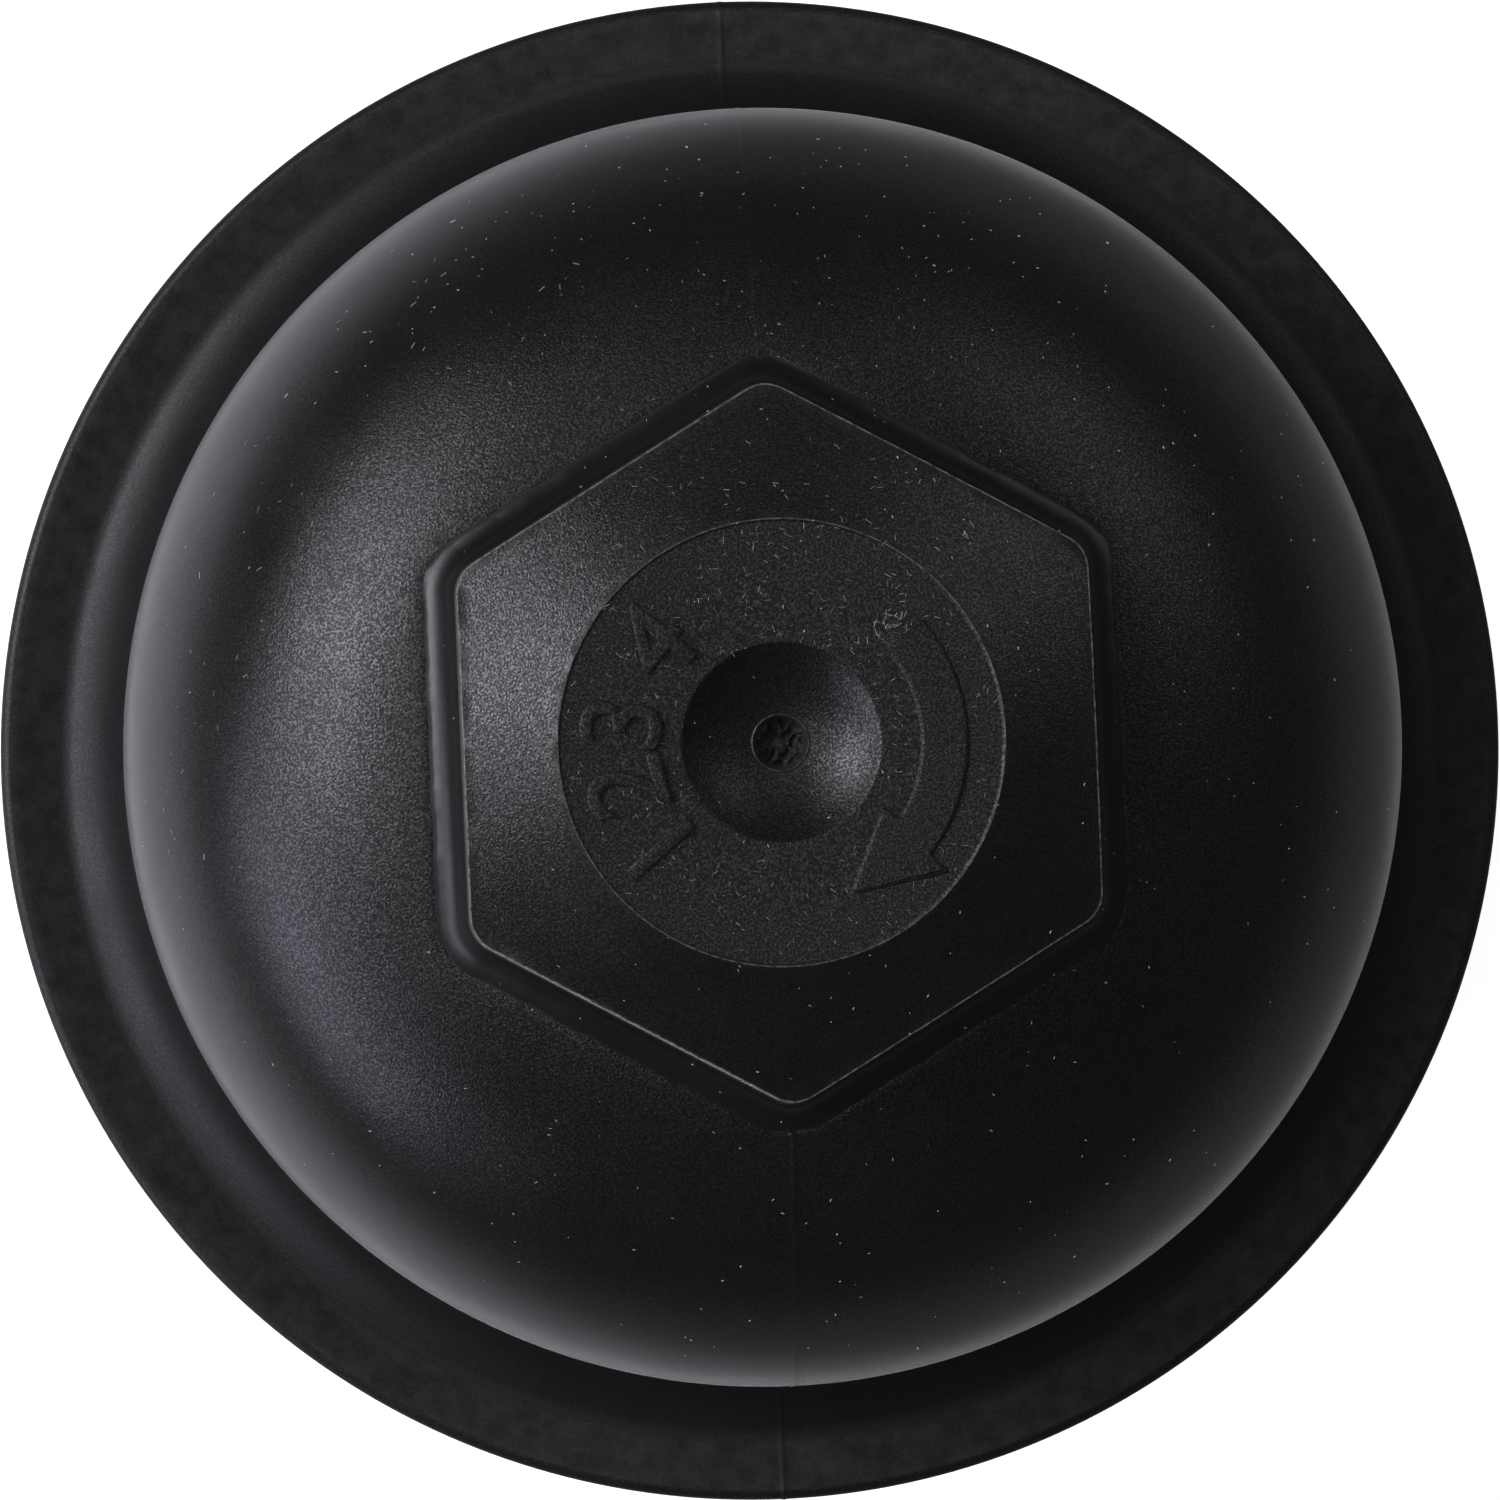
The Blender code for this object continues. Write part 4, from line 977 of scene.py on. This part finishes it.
class OILCAP_OT_marks(bpy.types.Operator):
    """Raise the turning arrow and four plain digits from the recess's floor"""

    bl_idname = "oilcap.marks"
    bl_label = "Marks"

    def execute(self, context):
        cap = context.scene.oilcap_cap
        turn = context.scene.oilcap_stage.camera_turn
        outline = self.arrow_outline(math.degrees(turn))
        arrow = raised_outline(
            "turning_arrow", outline, lambda radius: recess_floor(cap, radius), cap.mark_height
        )
        store(arrow.data, rough=0.6, grain=1.0)
        finish(arrow, CAP_NYLON, "cap", "cap_nylon")
        place = 7.9 * MM
        angles = (221.5, 196.4, 173.3, 141.9)
        move = Matrix.Translation((0, place, recess_floor(cap, place)))
        digits = []
        for text, angle in zip("1234", angles):
            mesh = self.digit(context, text)
            radial = math.radians(angle) - turn
            mesh.transform(Matrix.Rotation(radial - math.pi / 2, 4, "Z") @ move)
            digits.append(add_object("digit", mesh))
        group = joined("position_digits", digits)
        store(group.data, rough=0.6, grain=1.0)
        finish(group, CAP_NYLON, "cap", "cap_nylon")
        return {"FINISHED"}

    def arrow_outline(self, around):
        """Outline of a bent arrow, radii in millimetres, angles in degrees less the hex's turn."""
        inner, outer = 7.1, 9.4
        inner_barb, tip, outer_barb = 6.1, 8.4, 10.6
        tail_angle, barb_angle, tip_angle = 41.0 - around, -33.0 - around, -65.0 - around
        outer_angle = -38.0 - around
        pieces = [
            polar_arc(inner, (tail_angle, barb_angle), 48),
            polar_line((inner_barb, tip), (barb_angle, tip_angle), 16),
            polar_line((tip, outer_barb), (tip_angle, outer_angle), 16),
            polar_line((outer_barb, outer), (outer_angle, outer_angle + 1.0), 5),
            polar_arc(outer, (outer_angle + 1.0, tail_angle), 48),
        ]
        return np.concatenate(pieces)

    def digit(self, context, text):
        """Mesh of one raised digit with soft edges, in Blender's own letters."""
        curve = bpy.data.curves.new("digit", "FONT")
        curve.body = text
        curve.align_x = "CENTER"
        curve.align_y = "CENTER"
        curve.size = 5.8 * MM
        curve.extrude = 0.06 * MM
        curve.offset = -0.05 * MM
        curve.bevel_depth = 0.15 * MM
        curve.bevel_resolution = 2
        letter = add_object("digit", curve)
        graph = context.evaluated_depsgraph_get()
        mesh = bpy.data.meshes.new_from_object(letter.evaluated_get(graph))
        bpy.data.objects.remove(letter, do_unlink=True)
        return mesh


def scatter(pick, count, near, far, middle=0.0, spread=math.pi):
    """Random places in a ring about the axis: even over its area, at angles about a middle one."""
    radius = np.sqrt(pick.uniform(near**2, far**2, count))
    angle = middle + spread * pick.uniform(-1, 1, count)
    return np.stack([radius * np.cos(angle), radius * np.sin(angle)], axis=1)


class OILCAP_OT_specks(bpy.types.Operator):
    """Scatter exposed glass fibres and dust over the cap's upper skin as tiny closed ridges"""

    bl_idname = "oilcap.specks"
    bl_label = "Specks"

    def execute(self, context):
        shell = bpy.data.objects["cap_shell_moulded"]
        pick = np.random.default_rng(11)
        top = math.pi / 2
        # Places of each group, then its shortest and longest length and its width in millimetres.
        groups = (
            (scatter(pick, 420, 0.0, 33.5 * MM), 0.06, 0.18, 0.08),
            (scatter(pick, 150, 17 * MM, 32 * MM, top, 0.7), 0.06, 0.16, 0.07),
            (scatter(pick, 90, 23 * MM, 33 * MM, 2.6, 0.7), 0.08, 0.45, 0.06),
            (scatter(pick, 420, 5 * MM, 11 * MM), 0.08, 0.36, 0.03),
            (scatter(pick, 160, 5 * MM, 15.5 * MM, top, 0.9), 0.1, 0.45, 0.035),
            (scatter(pick, 50, 7.2 * MM, 9.0 * MM, 0.75, 0.12), 0.15, 0.5, 0.04),
        )
        flat = np.concatenate([group[0] for group in groups])
        length = np.concatenate([pick.uniform(g[1], g[2], len(g[0])) for g in groups]) * MM
        width = np.concatenate([pick.uniform(0.7, 1.3, len(g[0])) * g[3] for g in groups]) * MM
        above = 0.2
        hits = [shell.ray_cast((x, y, above), (0, 0, -1)) for x, y in flat]
        place = np.array([hit[1] for hit in hits])[:, None]
        normal = np.array([hit[2] for hit in hits])[:, None]
        spin = pick.uniform(0, math.pi, len(flat))
        along = np.stack([np.cos(spin), np.sin(spin), 0 * spin], axis=1)[:, None]
        along = along - normal * (along * normal).sum(axis=-1, keepdims=True)
        along /= np.linalg.norm(along, axis=-1, keepdims=True)
        across = np.cross(normal, along)
        # A ridge has four corners sunk in the skin and two points on its crest.
        ends = np.array([-1, 1, 1, -1, -0.8, 0.8])[None, :, None] * length[:, None, None] / 2
        sides = np.array([-1, -1, 1, 1, 0, 0])[None, :, None] * width[:, None, None] / 2
        rise = np.array([-0.4, -0.4, -0.4, -0.4, 0.6, 0.6])[None, :, None] * width[:, None, None]
        points = place + ends * along + sides * across + rise * normal
        first = 6 * np.arange(len(flat))[:, None, None]
        quads = first + np.array([(0, 3, 2, 1), (0, 1, 5, 4), (2, 3, 4, 5)])[None]
        tips = first + np.array([(1, 2, 5), (3, 0, 4)])[None]
        faces = quads.reshape(-1, 4).tolist() + tips.reshape(-1, 3).tolist()
        mesh = bpy.data.meshes.new("skin_fibres")
        mesh.from_pydata(points.reshape(-1, 3), [], faces)
        specks = add_object("skin_fibres", mesh)
        finish(specks, SKIN_FIBRE, "cap", "cap_nylon")
        return {"FINISHED"}


class OILCAP_OT_seals(bpy.types.Operator):
    """Make the main seal ring and the element's two grommets"""

    bl_idname = "oilcap.seals"
    bl_label = "Seals"

    def execute(self, context):
        self.main_ring()
        for node in ("upper_seal", "lower_seal"):
            self.grommet(context.scene.oilcap_element, node)
        return {"FINISHED"}

    def main_ring(self):
        """A round cord in a ring, with the thin flash of its mould inside and outside."""
        ring_low, ring_high = low("main_seal_ring"), high("main_seal_ring")
        section = (ring_high.z - ring_low.z) / 2
        flash_height = 0.04 * MM
        flash_width = 0.12
        angle = -circle(40)
        flash = flash_height * np.exp(-((np.sin(angle) / flash_width) ** 2))
        radius = ring_high.x - section + (section - flash_height + flash) * np.cos(angle)
        height = (ring_low.z + ring_high.z) / 2 + section * np.sin(angle)
        ring = turned("seal_ring_moulded", np.stack([radius, height], axis=1), 240)
        finish(ring, SEAL_RUBBER, "cap", "seal_rubber", "main_seal_ring")

    def grommet(self, element, node):
        """A ring with two flanges outside, which hold it in an end plate, and a lip inside."""
        bottom, top = low(node).z, high(node).z
        outer = high(node).x
        bore = outer - 3.7 * MM
        waist = outer - 1.8 * MM
        flange = element.seal_flange
        middle = (bottom + top) / 2
        lip_half = 0.5 * MM
        profile = rounded(
            [
                (bore, top),
                (outer, top),
                (outer, top - flange),
                (waist, top - flange),
                (waist, bottom + flange),
                (outer, bottom + flange),
                (outer, bottom),
                (bore, bottom),
                (bore, middle - lip_half),
                (bore - element.seal_lip, middle),
                (bore, middle + lip_half),
            ],
            0.25 * MM,
        )
        finish(turned(f"{node}_moulded", profile), SEAL_RUBBER, "element", "seal_rubber", node)


class OILCAP_OT_element(bpy.types.Operator):
    """Make the end plates and the pleated paper, and finish the core"""

    bl_idname = "oilcap.element"
    bl_label = "Element"

    def execute(self, context):
        element = context.scene.oilcap_element
        outer = high("lower_end_plate").x
        rim = outer - element.rim_wall
        bore = element.plate_bore
        rounding = 0.35 * MM
        foot, rim_top = low("lower_end_plate").z, high("lower_end_plate").z
        paper_low, paper_high = low("filter_pleats").z, high("filter_pleats").z
        plate_top = paper_low - GAP
        lower = rounded(
            [
                (outer, rim_top),
                (outer, foot),
                (rim, foot),
                (rim, plate_top - element.plate),
                (bore, plate_top - element.plate),
                (bore, plate_top),
                (rim, plate_top),
                (rim, rim_top),
            ],
            rounding,
        )
        top, rim_low = high("upper_end_plate").z, low("upper_end_plate").z
        upper = rounded(
            [
                (outer, top),
                (outer, rim_low),
                (rim, rim_low),
                (rim, top - element.plate),
                (bore, top - element.plate),
                (bore, top),
            ],
            rounding,
        )
        for side, profile in (("lower", lower), ("upper", upper)):
            plate = turned(f"{side}_plate_moulded", profile, 240)
            finish(plate, PLATE_PLASTIC, "element", "plate_plastic", f"{side}_end_plate")
        dress(frame["nodes"]["support_core"], PLATE_PLASTIC)
        self.pleats(element, paper_low, paper_high)
        return {"FINISHED"}

    def pleats(self, element, bottom, top):
        """Fold one sheet into a closed star, each fold rounded and each pleat a little uneven.

        The sheet's middle runs between two radii as a softened triangle wave of the angle,
        and the two skins lie half the paper's thickness either side of it.
        """
        count = 40
        samples = 20
        softness = 0.985
        most_lean = 0.012
        half = element.pleat_wall / 2
        outside = high("filter_pleats").x - half
        inside = high("support_core").x + GAP + half
        phase = np.linspace(0, count, count * samples, endpoint=False)
        wave = np.arcsin(softness * np.cos(2 * math.pi * phase)) / np.arcsin(softness)
        pick = np.random.default_rng(5)
        sway = pick.uniform(-1, 1, count)[np.floor(phase + 0.5).astype(int) % count]
        height = steps(14, 0.0, 1.0)
        lean = most_lean * sway * np.sin(math.pi * height) * (0.5 + 0.5 * wave)
        angle = 2 * math.pi * phase / count + lean
        radius = (outside + inside) / 2 + (outside - inside) / 2 * wave
        middle = np.stack([radius * np.cos(angle), radius * np.sin(angle)], axis=-1)
        tangent = np.roll(middle, -1, axis=1) - np.roll(middle, 1, axis=1)
        normal = np.stack([tangent[..., 1], -tangent[..., 0]], axis=-1)
        normal /= np.linalg.norm(normal, axis=-1, keepdims=True)
        level = np.broadcast_to(bottom + (top - bottom) * height, angle.shape)[..., None]
        outer = np.concatenate([middle + normal * half, level], axis=-1)
        inner = np.concatenate([middle - normal * half, level], axis=-1)
        sheet = surface("pleated_paper", np.concatenate([outer[::-1], inner]), close_rows=True)
        finish(sheet, FILTER_PAPER, "element", "filter_paper", "filter_pleats")


class OILCAP_OT_valve(bpy.types.Operator):
    """Make the valve cage with its snap fingers, the disc, its seal and the spring, and finish the
    retainer
    """

    bl_idname = "oilcap.valve"
    bl_label = "Valve"

    def execute(self, context):
        self.cage()
        self.disc()
        dress(frame["nodes"]["spring_retainer"], VALVE_NYLON)
        self.spring()
        return {"FINISHED"}

    def disc(self):
        """A turned plate with a spigot above and a stem below, and the flat ring on the spigot."""
        disc_low, disc_high = low("valve_disc"), high("valve_disc")
        seal_low, seal_high = low("valve_disc_seal").z, high("valve_disc_seal").z
        outer = disc_high.x
        under = high("valve_spring").z + GAP
        stem = 2.0 * MM
        spigot = outer - 2.7 * MM
        seal_bore = outer - 2.4 * MM
        # The corners on the axis stay sharp.
        bent = 5
        profile = rounded(
            [
                (0.0, disc_high.z),
                (spigot, disc_high.z),
                (spigot, seal_low - GAP),
                (outer, seal_low - GAP),
                (outer, under),
                (stem, under),
                (stem, disc_low.z),
                (0.0, disc_low.z),
            ],
            0.25 * MM,
            bent,
        )[bent:-bent]
        profile = np.concatenate([[(0.0, disc_high.z)], profile, [(0.0, disc_low.z)]])
        plate = turned("valve_plate", profile, 96, closed=False)
        finish(plate, VALVE_NYLON, "valve", "valve_nylon", "valve_disc")
        corners = [(outer, seal_high), (outer, seal_low), (seal_bore, seal_low), (seal_bore, seal_high)]
        ring = turned("disc_seal_ring", rounded(corners, 0.2 * MM), 96)
        finish(ring, SEAL_RUBBER, "valve", "seal_rubber", "valve_disc_seal")

    def cage(self):
        """A turned tube with seat and nose, and four fingers that snap into the cap's boss."""
        top, bottom = high("valve_cage").z, low("valve_cage").z
        outer = 11.4 * MM
        bore = 9.4 * MM
        nose_step = 1.0 * MM
        shoulder = bottom + 7.3 * MM
        ledge = shoulder + 2.0 * MM
        seat = high("valve_disc_seal").z + GAP
        seat_top = seat + 1.5 * MM
        seat_bore = bore - 2.9 * MM
        window_low = seat_top + 1.0 * MM
        window_high = window_low + 9.0 * MM
        tube = rounded(
            [
                (outer, window_low),
                (outer, shoulder),
                (outer - nose_step, shoulder),
                (outer - nose_step, bottom),
                (bore - nose_step, bottom),
                (bore - nose_step, ledge),
                (bore, ledge),
                (bore, seat),
                (seat_bore, seat),
                (seat_bore, seat_top),
                (bore, seat_top),
                (bore, window_low),
            ],
            0.25 * MM,
        )
        # The legs reach a little way into the tube and the fingers.
        root = 0.5 * MM
        leg_low, leg_high = window_low - root, window_high + root
        leg = rounded([(outer, leg_high), (outer, leg_low), (bore, leg_low), (bore, leg_high)], 0.1 * MM)
        bead = high("valve_cage").x
        bead_low = window_high + 4.3 * MM
        bead_high = bead_low + 1.3 * MM
        finger = rounded(
            [
                (outer, top),
                (outer, bead_low + 1.8 * MM),
                (bead, bead_high),
                (bead, bead_low),
                (outer, bead_low),
                (outer, window_high),
                (bore, window_high),
                (bore, top),
            ],
            0.2 * MM,
        )
        leg_half, finger_half = math.radians(21.7), math.radians(38.9)
        pieces = [turned("cage_tube", tube, 144)]
        for quarter in range(4):
            middle = quarter * math.pi / 2
            pieces.append(sector("cage_leg", leg, middle, leg_half))
            pieces.append(sector("cage_finger", finger, middle, finger_half))
        cage = joined("valve_cage_moulded", pieces)
        finish(cage, VALVE_NYLON, "cage", "valve_nylon", "valve_cage")

    def spring(self):
        """A helix of round wire whose end coils lie closed."""
        bottom, top = low("valve_spring").z, high("valve_spring").z
        wire = 0.6 * MM
        mean = high("valve_spring").x - wire
        coils = 5.0
        end_rise = 2.05 * wire
        climb = top - bottom - 2 * wire
        turns = steps(int(coils * 64), 0.0, coils)
        rise = np.interp(turns, [0, 1, coils - 1, coils], [0, end_rise, climb - end_rise, climb])
        round_wire = circle(14)[None, :]
        radius = mean + wire * np.cos(round_wire)
        height = bottom + wire + rise + wire * np.sin(round_wire)
        points = ring_points(radius, height, 2 * math.pi * turns)
        coil = surface("spring_wire", points, cap_ends=True)
        finish(coil, SPRING_STEEL, "cage", "spring_steel", "valve_spring")
        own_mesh(coil)


# Stage


def area_lamp(name, place, aim, shape, watts, tint):
    """A softbox at a place, turned towards a point, its width level with the floor."""
    lamp = bpy.data.lights.new(name, "AREA")
    lamp.shape = "RECTANGLE"
    lamp.size, lamp.size_y = shape
    lamp.energy = watts
    lamp.color = tint
    obj = add_object(name, lamp)
    obj.location = place
    obj.rotation_euler = (aim - place).to_track_quat("-Z", "Y").to_euler()


def floor_material(colours):
    """Pale studio paper: matte, with a faint tooth, white to the eye, and clear from below.

    Gloss and transmission rays see a painted glow in place of the paper. It is bright and bluish round a
    spot at the left, under the key, and dim further off, and the cap's gloss shows it as painted
    reflections.
    """
    material, tree, shader, place = new_material("studio paper")
    path = add_node(tree, "ShaderNodeLightPath").outputs
    seen = add_node(tree, "ShaderNodeMath", {0: path["Is Camera Ray"], 1: 0.6}, operation="MULTIPLY")
    tooth = add_node(tree, "ShaderNodeTexNoise", lumps_of(place, 1.2))
    bump = add_node(tree, "ShaderNodeBump", {"Strength": 0.1, "Distance": 0.05 * MM, "Height": tooth})
    finishes = {
        "Base Color": (*colours.floor, 1.0),
        "Roughness": 0.95,
        "Specular IOR Level": 0.0,
        "Emission Color": (1.0, 1.0, 1.0, 1.0),
        "Emission Strength": seen,
        "Normal": bump,
    }
    set_inputs(tree, shader, finishes)
    # Painted glow for gloss: bright bluish light round this spot at the left, fading to dim, painted on
    # the floor rather than cast by a lamp.
    pool = {0: place, 1: (-190 * MM, 0, CAD_BOX[0][2])}
    away = add_node(tree, "ShaderNodeVectorMath", pool, operation="DISTANCE").outputs["Value"]
    share = span(away, 60 * MM, 300 * MM, 0.0, 1.0)
    fading = add_node(tree, "ShaderNodeMapRange", share, interpolation_type="SMOOTHSTEP")
    painted_glow_colours = {0: fading, 6: (0.74, 0.74, 0.84, 1.0), 7: (0.14, 0.14, 0.14, 1.0)}
    shade = add_node(tree, "ShaderNodeMix", painted_glow_colours, data_type="RGBA").outputs[2]
    # The painted glow is an emission that only gloss and transmission rays see. It is not a lamp.
    painted_glow = add_node(tree, "ShaderNodeEmission", {"Color": shade})
    rays = {0: path["Is Glossy Ray"], 1: path["Is Transmission Ray"]}
    in_gloss = add_node(tree, "ShaderNodeMath", rays, operation="ADD")
    above = add_node(tree, "ShaderNodeMixShader", {0: in_gloss, 1: shader, 2: painted_glow})
    below = add_node(tree, "ShaderNodeNewGeometry").outputs["Backfacing"]
    clear = add_node(tree, "ShaderNodeBsdfTransparent")
    sides = add_node(tree, "ShaderNodeMixShader", {0: below, 1: above, 2: clear})
    set_inputs(tree, tree.nodes["Material Output"], {"Surface": sides})
    return material


class OILCAP_OT_stage(bpy.types.Operator):
    """Set the floor, the lamps, the surroundings and the camera"""

    bl_idname = "oilcap.stage"
    bl_label = "Stage"

    def execute(self, context):
        scene = context.scene
        stage = scene.oilcap_stage
        turn = stage.camera_turn
        right = Vector((math.cos(turn), -math.sin(turn), 0))
        up = Vector((math.sin(turn), math.cos(turn), 0))
        self.floor(scene.oilcap_colours)
        self.lamps(stage, right, up)
        scene.world = self.world(stage)
        flange_top = FLANGE_UNDER + scene.oilcap_cap.flange_thickness
        scene.camera = self.camera(stage, Vector((0, 0, flange_top)), right, up)
        scene.view_settings.view_transform = "Standard"
        return {"FINISHED"}

    def floor(self, colours):
        """A round sheet of paper under the object."""
        sides = 96
        reach = 0.6
        around = circle(sides)
        level = np.full(sides, CAD_BOX[0][2])
        rim = np.stack([reach * np.cos(around), reach * np.sin(around), level], axis=1)
        paper = bpy.data.meshes.new("floor")
        paper.from_pydata(rim, [], [list(range(sides))])
        paper.materials.append(floor_material(colours))
        floor = add_object("floor", paper)

    def lamps(self, stage, right, up):
        """Softboxes round the cap's crown, placed as the picture lies.

        Each has an angle in the picture, anticlockwise from its right, an angle off the
        vertical, both in degrees, its width and height in metres, its watts and its tint.
        """
        target = Vector((0, 0, high("cap_shell").z))
        distance = 0.8
        rows = (
            ("key", 164.0, 55.5, (0.5, 0.28), stage.key, (1.0, 0.96, 1.05)),
            ("side", 204.0, 78.0, (0.6, 0.25), stage.side, (0.92, 0.93, 1.14)),
            ("fill", 41.0, 53.0, (0.45, 0.25), stage.fill, (1.0, 0.97, 1.0)),
            ("overhead", 180.0, 18.0, (0.3, 0.3), stage.overhead, (1.03, 0.97, 1.0)),
            ("back", 98.0, 28.0, (0.3, 0.3), stage.back, (1.03, 0.97, 1.0)),
        )
        for name, azimuth, tilt, shape, watts, tint in rows:
            flat = math.cos(math.radians(azimuth)) * right + math.sin(math.radians(azimuth)) * up
            tilted = math.radians(tilt)
            way = math.sin(tilted) * flat + Vector((0, 0, math.cos(tilted)))
            area_lamp(name, target + distance * way, target, shape, watts, tint)

    def world(self, stage):
        """White to the camera, plain light on matte skins and dim in gloss."""
        world = bpy.data.worlds.new("studio")
        world.use_nodes = True
        tree = world.node_tree
        tree.nodes.clear()
        path = add_node(tree, "ShaderNodeLightPath").outputs
        levels = {0: path["Is Diffuse Ray"], 2: stage.gloss_sky, 3: stage.sky}
        level = add_node(tree, "ShaderNodeMix", levels)
        dim = add_node(tree, "ShaderNodeBackground", {"Color": (1, 1, 1, 1), "Strength": level})
        white = add_node(tree, "ShaderNodeBackground", {"Color": (1, 1, 1, 1), "Strength": 1.0})
        mixed = add_node(tree, "ShaderNodeMixShader", {0: path["Is Camera Ray"], 1: dim, 2: white})
        add_node(tree, "ShaderNodeOutputWorld", {"Surface": mixed})
        return world

    def camera(self, stage, aim, right, up):
        """A long lens above the flange, a little off the axis, looking down at it."""
        lens = bpy.data.cameras.new("camera")
        lens.lens = stage.lens
        lens.sensor_width = 36.0
        lens.clip_start = 0.01
        camera = add_object("camera", lens)
        camera.location = aim - stage.camera_left * right - stage.camera_down * up
        camera.location.z += stage.camera_height
        back = (camera.location - aim + stage.aim_left * right).normalized()
        side = up.cross(back).normalized()
        camera.rotation_euler = Matrix((side, back.cross(side), back)).transposed().to_euler()
        return camera


class OILCAP_PT_panel(bpy.types.Panel):
    """Sizes, colours and steps of the oil filter cap"""

    bl_idname = "OILCAP_PT_panel"
    bl_label = "Oil Filter Cap"
    bl_space_type = "VIEW_3D"
    bl_region_type = "UI"
    bl_category = "Oil Filter Cap"

    def draw(self, context):
        layout = self.layout
        for operator in OPERATORS:
            layout.operator(operator.bl_idname)
        for group in GROUPS:
            box = layout.box()
            settings = getattr(context.scene, group)
            for name in settings.__annotations__:
                box.prop(settings, name)


GROUPS = {
    "oilcap_cap": CapSizes,
    "oilcap_element": ElementSizes,
    "oilcap_colours": FinishColours,
    "oilcap_stage": StageSizes,
}
OPERATORS = (
    OILCAP_OT_cap,
    OILCAP_OT_thread,
    OILCAP_OT_marks,
    OILCAP_OT_specks,
    OILCAP_OT_seals,
    OILCAP_OT_element,
    OILCAP_OT_valve,
    OILCAP_OT_stage,
)


def register():
    """Add the classes to Blender, and their settings to the scene."""
    for group in GROUPS.values():
        bpy.utils.register_class(group)
    for operator in OPERATORS:
        bpy.utils.register_class(operator)
    bpy.utils.register_class(OILCAP_PT_panel)
    for name, group in GROUPS.items():
        setattr(bpy.types.Scene, name, PointerProperty(type=group))


def unregister():
    """Take away what register adds, last things first."""
    for name in GROUPS:
        delattr(bpy.types.Scene, name)
    bpy.utils.unregister_class(OILCAP_PT_panel)
    for operator in reversed(OPERATORS):
        bpy.utils.unregister_class(operator)
    for group in reversed(GROUPS.values()):
        bpy.utils.unregister_class(group)


def main():
    """Register the classes, then make every piece and the stage."""
    register()
    bpy.ops.oilcap.cap()
    bpy.ops.oilcap.thread()
    bpy.ops.oilcap.marks()
    bpy.ops.oilcap.specks()
    bpy.ops.oilcap.seals()
    bpy.ops.oilcap.element()
    bpy.ops.oilcap.valve()
    bpy.ops.oilcap.stage()


if __name__ == "__main__":
    main()
